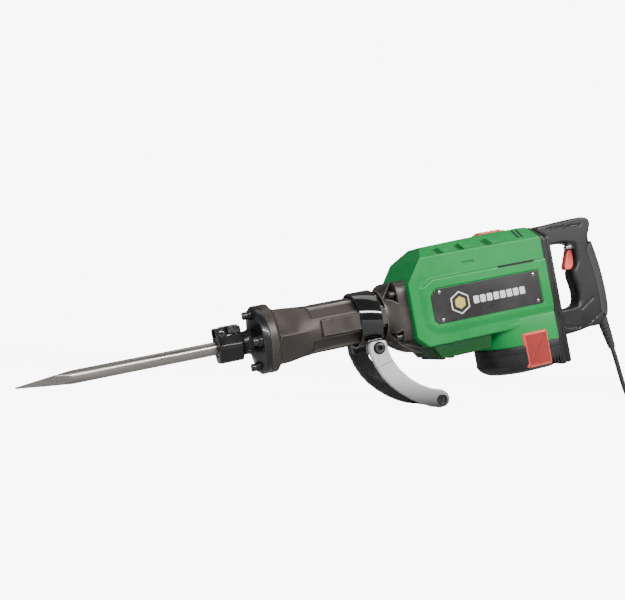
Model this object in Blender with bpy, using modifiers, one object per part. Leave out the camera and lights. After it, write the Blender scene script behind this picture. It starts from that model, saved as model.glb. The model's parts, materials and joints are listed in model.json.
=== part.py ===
"""Electric demolition hammer with a pointed chisel, a swinging side handle and a mains cord.

Tool frame, in millimetres: X runs along the barrel axis from the nose (minus) to the rear grip
(plus), Z is up through the motor and Y is to the right-hand side. Everything hangs on one empty that
stands the hammer on its chisel point and its side handle, so the floor is world Z = 0.
"""

import math

import bmesh
import bpy
from mathutils import Vector

MM = 0.001
GAP = 0.3
BARREL_R = 42.0

# Chisel and nose
CHISEL_REACH = 316.0
CHISEL_R = 10.8
TIP_LENGTH = 2.0
TIP_R = 2.0
SHANK_APOTHEM = 14.0
NOSE_X = -167.0
NOSE_APOTHEM = 26.0
NECK_R = 22.0
EAR_OUT = 23.0
FLANGE_R = BARREL_R + 15.0
FLANGE_X = -88.0
BOLT_CIRCLE_R = FLANGE_R - 14.0
BOLT_R = 5.0
SPOT = 0.6

# Barrel and impact train
BARREL_END = 119.0
LINER_R = BARREL_R - 9.3
BORE_R = LINER_R - 6.4
CRANK_THROW = 20.0
PISTON_PIN_X = 85.0

# Gear train, teeth of module 2
MODULE = 2.0
TEETH_MOTOR = 10
TEETH_IDLER = 45
TEETH_IDLER_PINION = 14
TEETH_CRANK = 44
MOTOR_X = 366.0

# Housing
HOUSING_HALF = 62.0
HOUSING_FRONT = 160.0
HOUSING_REAR = 430.0
HOUSING_TOP = 108.0
HOUSING_SILL = -66.0
DRUM_R = HOUSING_HALF + 1.0
COVER_R = DRUM_R + 3.0
BELLY_HALF = HOUSING_HALF - 7.0
BELLY_REAR = MOTOR_X - 64.0
CAP_X = MOTOR_X - 10.0
ROOF_HALF = 23.0
SHOULDER_Z = 85.0
DRUM_FLOOR = -98.0
COVER_FLOOR = -146.0
WALL = 4.0
CASE_HALF = HOUSING_HALF - 12.0
CASE_Z = 54.0

# Rear grip
PLATE_REAR = HOUSING_REAR + 28.0
GRIP_HALF = 16.5

# Side handle
BAND_X0 = 71.0
BAND_X1 = 110.0
BAND_R = BARREL_R + 6.5
ARM_IN = BARREL_R + 3.0
ARM_OUT = ARM_IN + 10.0
GRIP_X = 186.0
GRIP_Z = -157.0
SIDE_GRIP_R = 14.0

# Cord
CORD_R = 4.5
COIL_R = 50.2
COIL_PITCH = 9.15
COIL_HALF = COIL_PITCH + CORD_R + 0.35
RUN_Y = 6.5

IDLER_X = MOTOR_X - MODULE * (TEETH_MOTOR + TEETH_IDLER) / 2
CRANK_X = IDLER_X - MODULE * (TEETH_IDLER_PINION + TEETH_CRANK) / 2
TIP_X = NOSE_X + 5.0 - CHISEL_REACH


def clear_scene():
    """Removes everything the startup file brings."""
    for obj in list(bpy.data.objects):
        bpy.data.objects.remove(obj)


def new_collection(name, hidden):
    """Makes a collection under the scene; a hidden one holds cutters."""
    group = bpy.data.collections.new(name)
    bpy.context.scene.collection.children.link(group)
    group.hide_render = hidden
    return group


clear_scene()
PARTS = new_collection("demolition_hammer", False)
CUTTERS = new_collection("cutters", True)


def material(name, colour, roughness, metallic=0.0):
    """A plain Principled finish, made once for each name."""
    found = bpy.data.materials.get(name)
    if found:
        return found
    made = bpy.data.materials.new(name)
    made.use_nodes = True
    shader = made.node_tree.nodes["Principled BSDF"]
    shader.inputs["Base Color"].default_value = (*colour, 1.0)
    shader.inputs["Roughness"].default_value = roughness
    shader.inputs["Metallic"].default_value = metallic
    return made


def green_shell():
    return material("green_shell", (0.01, 0.30, 0.075), 0.38)


def black_cast():
    return material("black_cast", (0.018, 0.018, 0.02), 0.45, 0.6)


def black_plastic():
    return material("black_plastic", (0.017, 0.017, 0.019), 0.5)


def black_gloss():
    return material("black_gloss", (0.012, 0.012, 0.014), 0.2)


def black_rubber():
    return material("black_rubber", (0.02, 0.02, 0.02), 0.75)


def bronze_grey():
    return material("bronze_grey", (0.11, 0.098, 0.085), 0.4, 0.7)


def tool_steel():
    return material("tool_steel", (0.45, 0.42, 0.38), 0.32, 1.0)


def bright_steel():
    return material("bright_steel", (0.6, 0.6, 0.6), 0.25, 1.0)


def red_plastic():
    return material("red_plastic", (0.72, 0.09, 0.06), 0.4)


def dark_plate():
    return material("dark_plate", (0.03, 0.03, 0.035), 0.35, 0.2)


def copper():
    return material("copper", (0.75, 0.35, 0.18), 0.35, 1.0)


def iron_core():
    return material("iron_core", (0.2, 0.2, 0.21), 0.5, 0.9)


def carbon():
    return material("carbon", (0.03, 0.03, 0.03), 0.8)


def add_mesh(name, points, faces, finish):
    """A closed mesh from points in millimetres, with its faces turned outward."""
    mesh = bpy.data.meshes.new(name)
    mesh.from_pydata([Vector(p) * MM for p in points], [], faces)
    work = bmesh.new()
    work.from_mesh(mesh)
    bmesh.ops.remove_doubles(work, verts=work.verts, dist=1e-7)
    bmesh.ops.recalc_face_normals(work, faces=work.faces)
    work.to_mesh(mesh)
    work.free()
    obj = bpy.data.objects.new(name, mesh)
    group = PARTS if finish else CUTTERS
    group.objects.link(obj)
    if finish:
        mesh.materials.append(finish)
        mesh.shade_smooth()
        mesh.set_sharp_from_angle(angle=math.radians(35))
    else:
        obj.hide_render = True
        obj.display_type = "WIRE"
    return obj


def turned(axis, a, r, angle, centre):
    """The point at distance a along the axis and r from it, at an angle round it."""
    c = r * math.cos(angle)
    s = r * math.sin(angle)
    local = {"X": (a, c, s), "Y": (c, a, s), "Z": (c, s, a)}[axis]
    return tuple(local[i] + centre[i] for i in range(3))


def lathe(name, profile, finish, axis="X", centre=(0, 0, 0), steps=28):
    """Turns (along, radius) points round an axis: poles where it starts and ends at radius 0,
    a closed ring otherwise."""
    solid = profile[0][1] == 0 and profile[-1][1] == 0
    rows = profile[1:-1] if solid else profile
    points = []
    for a, r in rows:
        for k in range(steps):
            points.append(turned(axis, a, r, 2 * math.pi * k / steps, centre))
    faces = []
    count = len(rows)
    for i in range(count - 1 if solid else count):
        j = (i + 1) % count
        for k in range(steps):
            m = (k + 1) % steps
            faces.append((i * steps + k, i * steps + m, j * steps + m, j * steps + k))
    if solid:
        faces.append(tuple(range(steps)))
        faces.append(tuple((count - 1) * steps + k for k in range(steps)))
    return add_mesh(name, points, faces, finish)


def rod(name, a0, a1, r, finish, axis="X", centre=(0, 0, 0), steps=16):
    """A plain cylinder."""
    return lathe(name, [(a0, 0), (a0, r), (a1, r), (a1, 0)], finish, axis, centre, steps)


def chamfered_rod(name, a0, a1, r, c, finish, axis="X", centre=(0, 0, 0), steps=16):
    """A cylinder with a chamfer at each end."""
    profile = [(a0, 0), (a0, r - c), (a0 + c, r), (a1 - c, r), (a1, r - c), (a1, 0)]
    return lathe(name, profile, finish, axis, centre, steps)


def ring_solid(name, a0, a1, r_in, r_out, finish, axis="X", centre=(0, 0, 0), steps=28):
    """A plain ring or tube."""
    profile = [(a0, r_in), (a0, r_out), (a1, r_out), (a1, r_in)]
    return lathe(name, profile, finish, axis, centre, steps)


def polygon_r(angle, apothem, sides, corner, limit):
    """Radius of a regular polygon at an angle, with a corner at angle `corner`, cut at `limit`."""
    part = 2 * math.pi / sides
    offset = (angle - corner) % part - part / 2
    return min(apothem / math.cos(offset), limit)


def superellipse(angle, a, b, power):
    """Point (y, z) of a superellipse with half axes a and b."""
    c = math.cos(angle)
    s = math.sin(angle)
    y = a * math.copysign(abs(c) ** (2 / power), c)
    z = b * math.copysign(abs(s) ** (2 / power), s)
    return y, z


def loft(name, outer, finish, inner=None):
    """Skins rings of equal point counts; with inner rings the solid is a tube."""
    size = len(outer[0])
    points = [p for row in outer for p in row]
    faces = []

    def skin(start, rows):
        for i in range(rows - 1):
            for k in range(size):
                m = (k + 1) % size
                base = start + i * size
                faces.append((base + k, base + m, base + size + m, base + size + k))

    skin(0, len(outer))
    if inner is None:
        faces.append(tuple(range(size)))
        faces.append(tuple((len(outer) - 1) * size + k for k in range(size)))
        return add_mesh(name, points, faces, finish)
    start = len(points)
    points += [p for row in inner for p in row]
    skin(start, len(inner))
    ends = ((0, start), ((len(outer) - 1) * size, start + (len(inner) - 1) * size))
    for a, b in ends:
        for k in range(size):
            m = (k + 1) % size
            faces.append((a + k, a + m, b + m, b + k))
    return add_mesh(name, points, faces, finish)


def radial_ring(x, radius, count=36, phase=0.0):
    """Ring of points at station x; `radius` is a number or a function of the angle."""
    row = []
    for k in range(count):
        angle = 2 * math.pi * k / count + phase
        r = radius(angle) if callable(radius) else radius
        row.append((x, r * math.cos(angle), r * math.sin(angle)))
    return row


def hex_radius(apothem, limit):
    """Hexagon with a corner straight up."""
    return lambda angle: polygon_r(angle, apothem, 6, math.pi / 2, limit)


def square_radius(apothem, limit):
    """Square standing on a corner."""
    return lambda angle: polygon_r(angle, apothem, 4, math.pi / 2, limit)


def oval_ring(x, a, b, power, count=32, dz=0.0):
    """Superellipse ring at station x."""
    row = []
    for k in range(count):
        y, z = superellipse(2 * math.pi * k / count, a, b, power)
        row.append((x, y, z + dz))
    return row


def prism(name, outline, axis, lo, hi, finish, bevel=0.0):
    """Extrudes an outline along Y (given as x, z) or along Z (given as x, y) or X (y, z)."""
    spread = {
        "X": lambda u, v, w: (w, u, v),
        "Y": lambda u, v, w: (u, w, v),
        "Z": lambda u, v, w: (u, v, w),
    }[axis]
    count = len(outline)
    points = [spread(u, v, lo) for u, v in outline] + [spread(u, v, hi) for u, v in outline]
    faces = [tuple(range(count)), tuple(range(count, 2 * count))]
    for k in range(count):
        m = (k + 1) % count
        faces.append((k, m, count + m, count + k))
    obj = add_mesh(name, points, faces, finish)
    if bevel:
        edge = obj.modifiers.new("edge", "BEVEL")
        edge.width = bevel * MM
        edge.segments = 1
        edge.limit_method = "ANGLE"
        edge.angle_limit = math.radians(50)
    return obj


def block(name, x0, x1, y0, y1, z0, z1, finish, bevel=0.0):
    """An axis-aligned box."""
    outline = [(x0, z0), (x1, z0), (x1, z1), (x0, z1)]
    return prism(name, outline, "Y", y0, y1, finish, bevel)


def boolean(target, other, operation):
    """Adds an exact Boolean; the other object is kept as a hidden helper."""
    step = target.modifiers.new(operation.lower(), "BOOLEAN")
    step.solver = "EXACT"
    step.operation = operation
    step.object = other


def cut(target, *cutters):
    for cutter in cutters:
        boolean(target, cutter, "DIFFERENCE")


def weld(target, *helpers):
    for helper in helpers:
        boolean(target, helper, "UNION")


def arc(cx, cy, r, start, end, steps):
    """Points of an arc, angles in degrees."""
    return [
        (
            cx + r * math.cos(math.radians(start + (end - start) * k / steps)),
            cy + r * math.sin(math.radians(start + (end - start) * k / steps)),
        )
        for k in range(steps + 1)
    ]


def gear_outline(teeth, phase):
    """Outline of a spur gear with straight-flanked teeth and running backlash."""
    pitch_r = MODULE * teeth / 2
    root = pitch_r - 1.15 * MODULE
    tip = pitch_r + 0.8 * MODULE
    outline = []
    for k in range(teeth):
        base = 2 * math.pi * k / teeth + phase
        step = 2 * math.pi / teeth
        for offset, r in ((-0.30, root), (-0.10, tip), (0.10, tip), (0.30, root)):
            angle = base + offset * step
            outline.append((r * math.cos(angle), r * math.sin(angle)))
    return outline


def gear(name, teeth, x, z0, z1, phase, finish):
    outline = [(x + u, v) for u, v in gear_outline(teeth, phase)]
    return prism(name, outline, "Z", z0, z1, finish)


def make_chisel():
    """Bull-point chisel: square point, round body and hexagonal shank."""
    count = 24
    point_end = TIP_X + 72
    shank_end = FLANGE_X + 24
    rows = [
        radial_ring(TIP_X, square_radius(0.8, 1.1), count),
        radial_ring(TIP_X + TIP_LENGTH, square_radius(1.6, TIP_R), count),
        radial_ring(point_end - 12, square_radius(8.4, 10.9), count),
        radial_ring(point_end, CHISEL_R, count),
        radial_ring(NOSE_X - 2, CHISEL_R, count),
        radial_ring(NOSE_X + 1, hex_radius(SHANK_APOTHEM - 2.2, 13.5), count),
        radial_ring(NOSE_X + 3, hex_radius(SHANK_APOTHEM, 16.0), count),
        radial_ring(shank_end - 2, hex_radius(SHANK_APOTHEM, 16.0), count),
        radial_ring(shank_end, hex_radius(SHANK_APOTHEM - 2, 14.0), count),
    ]
    loft("chisel", rows, tool_steel())


def bolt_places():
    """Centres (y, z) of the four front bolts: top, left, bottom and right."""
    return [(BOLT_CIRCLE_R * math.cos(a), BOLT_CIRCLE_R * math.sin(a)) for a in
            (math.pi / 2, math.pi, -math.pi / 2, 0.0)]


def make_front_cover():
    """Black cast nose: hexagonal block, neck, flare and bolted flange round a hexagonal bore."""
    hexagon = hex_radius(NOSE_APOTHEM, 28.6)
    front = FLANGE_X - 12
    outer = [
        radial_ring(NOSE_X, hex_radius(NOSE_APOTHEM - 2, 26.4)),
        radial_ring(NOSE_X + 2.5, hexagon),
        radial_ring(NOSE_X + 38, hexagon),
        radial_ring(NOSE_X + 41, hex_radius(NOSE_APOTHEM - 3, 25.0)),
        radial_ring(NOSE_X + 43, NECK_R),
        radial_ring(front - 14, NECK_R),
        radial_ring(front - 8, NECK_R + 3),
        radial_ring(front - 4, NECK_R + 9),
        radial_ring(front - 1, NECK_R + 20),
        radial_ring(front, FLANGE_R - 2),
        radial_ring(front + 2, FLANGE_R),
        radial_ring(FLANGE_X - GAP, FLANGE_R),
    ]
    bore = hex_radius(SHANK_APOTHEM + GAP, 16.0 + GAP)
    inner = [radial_ring(row[0][0], bore) for row in outer]
    cover = loft("front_cover", outer, black_cast(), inner)
    for side, name in ((-1, "left"), (1, "right")):
        lo, hi = sorted((side * 14.7, side * EAR_OUT))
        weld(cover, block(f"ear_{name}", NOSE_X + 1.5, NOSE_X + 15, lo, hi, 4, 28, None))
    slot = block("slot_cut", NOSE_X - 1, NOSE_X + 44, -14, 14, 16.8, 40, None)
    pin = rod("retainer_pin_cut", -40, 40, 3 + GAP, None, "Y", (NOSE_X + 8, 0, 22), 20)
    cut(cover, slot, pin)
    holes = []
    for k, (y, z) in enumerate(bolt_places()):
        profile = [(front - 20, 0), (front - 20, BOLT_R + 2.6), (front + SPOT, BOLT_R + 2.6),
                   (front + SPOT, BOLT_R + GAP), (FLANGE_X + 2, BOLT_R + GAP), (FLANGE_X + 2, 0)]
        hole = lathe(f"front_hole_{k + 1}", profile, None, "X", (0, y, z), 14)
        holes.append(hole)
    cut(cover, *holes)


def make_retainer():
    """Lever that drops into the nose slot and holds the shank, on a cross pin."""
    px = NOSE_X + 8
    outline = arc(px, 22, 4.7, 90, 270, 8)
    outline += [(px + 10, 17.3), (px + 31, 17.3), (px + 34, 21), (px + 33, 30), (px + 29, 33.5)]
    outline += [(px + 10, 33.5), (px + 4, 28)]
    lever = prism("tool_retainer", outline, "Y", -13.7, 13.7, black_cast(), 0.6)
    hole = rod("lever_hole", -20, 20, 3 + GAP, None, "Y", (px, 0, 22))
    cut(lever, hole)
    end = EAR_OUT + GAP
    profile = [(-end - 2.8, 0), (-end - 2.8, 4.8), (-end - 2, 5.6), (-end, 5.6), (-end, 3), (end, 3),
               (end + 1, 2.4), (end + 1, 0)]
    return lathe("retainer_pin", profile, bright_steel(), "Y", (px, 0, 22), 12)


def make_front_bolts():
    """Four socket-head bolts that hold the front cover to the barrel."""
    head = FLANGE_X - 12 - 8
    seat = FLANGE_X - 12 + SPOT - GAP
    for k, (y, z) in enumerate(bolt_places()):
        profile = [
            (head + 3, 0), (head + 3, 2.6), (head, 3.1), (head, BOLT_R + 0.8), (head + 1, BOLT_R + 1.8),
            (seat, BOLT_R + 1.8), (seat, BOLT_R), (FLANGE_X + 10, BOLT_R),
            (FLANGE_X + 10, 0),
        ]
        lathe(f"front_bolt_{k + 1}", profile, black_cast(), "X", (0, y, z), 12)


def make_barrel():
    """Cylinder case: flange, square-shouldered taper and round barrel, bored for the liner."""
    x = FLANGE_X
    outer = [
        radial_ring(x, FLANGE_R),
        radial_ring(x + 16, FLANGE_R),
        radial_ring(x + 17, square_radius(BARREL_R - 3, BARREL_R + 8)),
        radial_ring(x + 20, square_radius(BARREL_R - 5, BARREL_R + 5.5)),
        radial_ring(x + 60, square_radius(BARREL_R - 4.5, BARREL_R + 2)),
        radial_ring(x + 86, square_radius(BARREL_R - 2, BARREL_R)),
        radial_ring(x + 96, BARREL_R),
        radial_ring(BARREL_END, BARREL_R),
    ]
    guide = 20.0
    bore = LINER_R + GAP
    stations = [(x, guide), (x + 28, guide), (x + 28.5, bore), (x + 60, bore), (x + 80, bore),
                (x + 86, bore), (x + 96, bore), (BARREL_END, bore)]
    inner = [radial_ring(a, r) for a, r in stations]
    case = loft("cylinder_case", outer, bronze_grey(), inner)
    for k, (y, z) in enumerate(bolt_places()):
        cut(case, rod(f"barrel_hole_{k + 1}", x - 2, x + 11, BOLT_R + GAP, None, "X", (0, y, z), 12))
    for side, name in ((-1, "left"), (1, "right")):
        panel = block(f"rib_panel_{name}", x + 91, x + 153, side * (BARREL_R + 2), side * (BARREL_R - 8),
                      -14, 12, None)
        weld(case, panel)


def make_impact_train():
    """Liner, striker, piston, connecting rod and the bolt that hits the chisel."""
    x = FLANGE_X
    ring_solid("cylinder_liner", x + 29.5, BARREL_END - 1, BORE_R, LINER_R, bright_steel())
    chamfered_rod("impact_bolt", x + 24.6, x + 68, 18.5, 1.5, tool_steel())
    chamfered_rod("striker", x + 84, x + 128, BORE_R - GAP, 1.5, tool_steel())
    px = PISTON_PIN_X
    piston = chamfered_rod("piston", px - 16, px + 13, BORE_R - GAP, 1.0, bright_steel())
    slot = block("piston_slot", px - 10.5, px + 20, -10.5, 10.5, -7, 7, None)
    hole = rod("piston_pin_hole", -40, 40, 5 + GAP, None, "Z", (px, 0, 0), 14)
    cut(piston, slot, hole)
    chamfered_rod("piston_pin", -22, 22, 5, 0.8, bright_steel(), "Z", (px, 0, 0), 14)
    big = CRANK_X - CRANK_THROW
    bar = block("connecting_rod", px, big, -7, 7, -6, 6, iron_core())
    small_end = rod("small_end", -6, 6, 9.5, None, "Z", (px, 0, 0))
    big_end = rod("big_end", -6, 6, 17, None, "Z", (big, 0, 0), 32)
    weld(bar, small_end, big_end)
    small_bore = rod("small_bore", -10, 10, 5 + GAP, None, "Z", (px, 0, 0), 14)
    big_bore = rod("big_bore", -10, 10, 9 + GAP, None, "Z", (big, 0, 0), 24)
    cut(bar, small_bore, big_bore)
    chamfered_rod("crank_pin", -9, 12, 9, 0.8, bright_steel(), "Z", (big, 0, 0), 24)


def make_gears():
    """Crankshaft, idler and armature shaft, each with its spur gears in mesh at rest."""
    crank = gear("crankshaft", TEETH_CRANK, CRANK_X, 62, 72, 0.0, tool_steel())
    stem = rod("crank_stem", 20, 74, 9, None, "Z", (CRANK_X, 0, 0))
    web = rod("crank_web", 12.3, 22, 31, None, "Z", (CRANK_X, 0, 0), 36)
    weld(crank, stem, web)
    half = math.pi / TEETH_IDLER_PINION
    idler = gear("idler_gear", TEETH_IDLER, IDLER_X, 76, 84, 0.0, tool_steel())
    pinion = gear("idler_pinion", TEETH_IDLER_PINION, IDLER_X, 60, 77, math.pi + half, None)
    stem = rod("idler_stem", 40, 95, 6, None, "Z", (IDLER_X, 0, 0))
    weld(idler, pinion, stem)
    half = math.pi / TEETH_MOTOR
    shaft = gear("armature_shaft", TEETH_MOTOR, MOTOR_X, 74, 90, math.pi + half, tool_steel())
    stem = rod("armature_stem", -138, 75, 6, None, "Z", (MOTOR_X, 0, 0))
    weld(shaft, stem)


def make_motor():
    """Armature, commutator, fan, stator, brushes and bearings round the upright motor axis."""
    at = (MOTOR_X, 0, 0)
    ring_solid("armature_core", -76, 2, 6 + GAP, 27, iron_core(), "Z", at)
    ring_solid("commutator", -128, -98, 6 + GAP, 18, copper(), "Z", at)
    fan = ring_solid("cooling_fan", 24, 27, 6 + GAP, 46, black_plastic(), "Z", at)
    for k in range(8):
        angle = 2 * math.pi * k / 8
        c = math.cos(angle)
        s = math.sin(angle)
        corners = [(16, -1.2), (44, -1.2), (44, 1.2), (16, 1.2)]
        outline = [(MOTOR_X + u * c - v * s, u * s + v * c) for u, v in corners]
        weld(fan, prism(f"fan_blade_{k + 1}", outline, "Z", 26, 38, None))
    ring_solid("stator", -72, -2, 29, 50, iron_core(), "Z", at)
    for side, name in ((-1, "left"), (1, "right")):
        lo, hi = sorted((side * (18 + GAP), side * 36))
        block(f"carbon_brush_{name}", MOTOR_X - 4, MOTOR_X + 4, lo, hi, -120, -106, carbon())
    bearing("bearing_armature_top", MOTOR_X, 48, 60, 6, 16)
    bearing("bearing_armature_bottom", MOTOR_X, -138, -129, 6, 15)
    bearing("bearing_idler", IDLER_X, 44, 56, 6, 16)
    bearing("bearing_crank_top", CRANK_X, 46, 60, 9, 24)
    bearing("bearing_crank_bottom", CRANK_X, 26, 38, 9, 24)


def bearing(name, x, z0, z1, r_shaft, r_out):
    """A ball bearing as one ring with a groove on each face."""
    r_in = r_shaft + GAP
    mid = (r_in + r_out) / 2
    profile = [(z0, r_in), (z0, mid - 2), (z0 + 1.5, mid - 1.5), (z0 + 1.5, mid + 1.5), (z0, mid + 2),
               (z0, r_out), (z1, r_out), (z1, mid + 2), (z1 - 1.5, mid + 1.5), (z1 - 1.5, mid - 1.5),
               (z1, mid - 2), (z1, r_in)]
    lathe(name, profile, bright_steel(), "Z", (x, 0, 0), 20)


def case_bolt_places():
    """Positions (y, z) of the socket bolts in the crank case's corner pockets."""
    y = CASE_HALF - 9
    return [(-y, 33), (y, 33), (-y, -40), (y, -40)]


def make_crank_case():
    """Grey metal case that widens from the round barrel to the gear chamber."""
    x = BARREL_END + GAP
    outer = [
        oval_ring(x, BARREL_R + 2, BARREL_R + 2, 2.0),
        oval_ring(x + 9, BARREL_R + 4, BARREL_R + 5, 2.2),
        oval_ring(x + 15, CASE_HALF - 1, CASE_Z - 1, 3.0),
        oval_ring(HOUSING_FRONT, CASE_HALF, CASE_Z, 5.0), oval_ring(190, CASE_HALF, CASE_Z, 6.0),
        oval_ring(CRANK_X + 32, CASE_HALF, CASE_Z, 6.0),
    ]
    wall = 6.0
    inner = [
        oval_ring(x, LINER_R + GAP, LINER_R + GAP, 2.0),
        oval_ring(x + 9, LINER_R + 3.3, LINER_R + 3.3, 2.2),
        oval_ring(x + 23, CASE_HALF - 12, CASE_Z - 14, 3.0),
        oval_ring(HOUSING_FRONT, CASE_HALF - wall, CASE_Z - wall, 5.0),
        oval_ring(190, CASE_HALF - wall, CASE_Z - wall, 6.0),
        oval_ring(CRANK_X + 32, CASE_HALF - wall, CASE_Z - wall, 6.0),
    ]
    case = loft("crank_case", outer, bronze_grey(), inner)
    shaft = rod("crank_way", 40, 70, 24 + GAP, None, "Z", (CRANK_X, 0, 0), 36)
    cut(case, shaft)
    for k, (y, z) in enumerate(case_bolt_places()):
        pocket = rod(f"case_pocket_{k + 1}", x - 6, x + 21, 6.2, None, "X", (0, y, z), 12)
        cut(case, pocket)
        profile = [(x + 12, 0), (x + 12, 2.8), (x + 9, 3.2), (x + 9, 5), (x + 10, 5.8),
                   (x + 21 - GAP, 5.8), (x + 21 - GAP, 0)]
        lathe(f"case_bolt_{k + 1}", profile, bright_steel(), "X", (0, y, z), 12)


def side_outline(inset):
    """Side view (x, z) of the motor housing, moved inward by `inset`."""
    i = inset
    return [
        (HOUSING_FRONT + i, -48 + i * 0.5), (HOUSING_FRONT + i, 44 - i * 0.5),
        (187 + i, 82 - i * 0.5), (211 + i, HOUSING_TOP - 4 - i), (300, HOUSING_TOP - 1 - i),
        (HOUSING_REAR - 20, HOUSING_TOP + 1 - i), (HOUSING_REAR - i, HOUSING_TOP - i),
        (HOUSING_REAR - i, DRUM_FLOOR + i), (MOTOR_X + 1, DRUM_FLOOR + i),
        (MOTOR_X + 1, HOUSING_SILL + i), (180 + i * 0.5, HOUSING_SILL + i),
    ]


def drum_outline(r, half, rear):
    """Top view (x, y) of the motor drum: round in front and straight to the rear."""
    start = math.degrees(math.asin(half / r))
    front = arc(MOTOR_X, 0, r, start, 360 - start, 22)
    front = [(x, y) for x, y in front if x < MOTOR_X + r * 0.5]
    return [(rear, half), *front, (rear, -half)]


def shoulder_wedge(side, drop):
    """Cross-section (y, z) of what is cut off above one sloping shoulder."""
    slope = (HOUSING_TOP - 4 - SHOULDER_Z) / (HOUSING_HALF - ROOF_HALF)
    outer = HOUSING_HALF + 2
    low = SHOULDER_Z - 2 * slope - drop
    reach = 36.0
    return [(side * outer, low), (side * outer, low + reach), (side * (outer - reach / slope), low + reach)]


def make_housing():
    """Green motor housing: hollow shell with chamfered shoulders and a rounded drum."""
    shell = prism("motor_housing", side_outline(0), "Y", -HOUSING_HALF, HOUSING_HALF, green_shell())
    drum = prism("drum", drum_outline(DRUM_R, HOUSING_HALF - 0.5, HOUSING_REAR - 0.5), "Z",
                 DRUM_FLOOR, HOUSING_SILL + 6, None)
    belly = block("belly", 184, BELLY_REAR, -BELLY_HALF, BELLY_HALF, -90, HOUSING_SILL + 6, None)
    weld(shell, drum, belly)
    for side, name in ((-1, "left"), (1, "right")):
        wedge = shoulder_wedge(side, 0.0)
        cut(shell, prism(f"shoulder_{name}", wedge, "X", 100, HOUSING_REAR + 20, None))
    room = prism("room", side_outline(WALL), "Y", -HOUSING_HALF + WALL, HOUSING_HALF - WALL, None)
    cut(shell, room_with_shoulders(room))
    drum_room = prism("drum_room", drum_outline(DRUM_R - WALL, HOUSING_HALF - WALL, HOUSING_REAR - WALL),
                      "Z", DRUM_FLOOR - 5, HOUSING_SILL + 12, None)
    belly_room = block("belly_room", 184 + WALL, BELLY_REAR - WALL, -BELLY_HALF + WALL, BELLY_HALF - WALL,
                       -86, HOUSING_SILL + 12, None)
    mouth = loft("mouth", [oval_ring(x, CASE_HALF + 0.6, CASE_Z + 0.6, 5.6) for x in (100, 205)], None)
    cut(shell, drum_room, belly_room, mouth)


def room_with_shoulders(room):
    """Keeps the wall behind the shoulders by trimming the inner room the same way."""
    for side, name in ((-1, "left"), (1, "right")):
        wedge = shoulder_wedge(side, WALL * 1.12)
        cut(room, prism(f"inner_shoulder_{name}", wedge, "X", 90, HOUSING_REAR + 30, None))
    return room


def make_lower_cover():
    """Black end cover under the motor, a cup with the drum's outline."""
    floor = COVER_FLOOR
    cup = prism("lower_cover", drum_outline(COVER_R, HOUSING_HALF, HOUSING_REAR), "Z",
                floor, DRUM_FLOOR - GAP, black_plastic(), 5.0)
    hollow = prism("cup_room", drum_outline(COVER_R - 5, HOUSING_HALF - 5, HOUSING_REAR - 5), "Z",
                   floor + 5, DRUM_FLOOR + 6, None)
    seat = rod("bearing_seat", floor + 2, floor + 8, 15 + GAP, None, "Z", (MOTOR_X, 0, 0))
    cut(cup, hollow, seat)


def make_brush_caps():
    """Red covers over the carbon brushes, one on each side, in pockets of the shell."""
    x0 = CAP_X
    for side, name in ((-1, "left"), (1, "right")):
        lo, hi = sorted((side * CASE_HALF, side * COVER_R))
        block(f"brush_cap_{name}", x0, x0 + 51, lo, hi, -139, -77, red_plastic(), 2.0)
        lo, hi = sorted((side * (CASE_HALF - GAP), side * (COVER_R + 14)))
        pocket = block(f"cap_pocket_{name}", x0 - GAP, x0 + 51 + GAP, lo, hi, -139 - GAP, -77 + GAP,
                       None)
        cut(bpy.data.objects["motor_housing"], pocket)
        cut(bpy.data.objects["lower_cover"], pocket)


def make_trim():
    """Nameplate with clipped corners and the red vent insert on the roof."""
    y = HOUSING_HALF + GAP
    end = HOUSING_REAR - 21
    outline = [(206, 28), (end, 28), (end, -31), (203, -31), (196, -25), (196, 18)]
    prism("nameplate", outline, "Y", -y - 2.2, -y, dark_plate())
    z = HOUSING_TOP + 0.7 + GAP
    front = MOTOR_X - 28
    vent = block("roof_vent", front, front + 52, -14, 14, z, z + 2.5, red_plastic())
    for k in range(4):
        x = front + 4 + k * 12
        bump = block(f"vent_bump_{k + 1}", x, x + 6, -11, 11, z + 2, z + 4.5, None)
        weld(vent, bump)


def from_plate(points):
    """Side view (x, z) of points given as distances behind the rear frame."""
    return [(PLATE_REAR + x, z) for x, z in points]


def grip_outline():
    """Side view (x, z) of the D grip without its rubber back."""
    return from_plate([
        (GAP, 106), (53, 109), (102, 110), (111, 108), (118, 98), (116, 88), (108, 74), (109, 61),
        (114, 33), (119, -6), (120, -48), (118, -78), (115, -87), (92, -97), (75, -96),
        (51, -100), (GAP, -102),
    ])


def grip_opening():
    """Side view (x, z) of the hand opening."""
    return from_plate([
        (8, 66), (50, 69), (57, 64), (55, 40), (54, 13), (61, -5), (63, -38), (54, -52),
        (41, -55), (8, -54),
    ])


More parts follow.
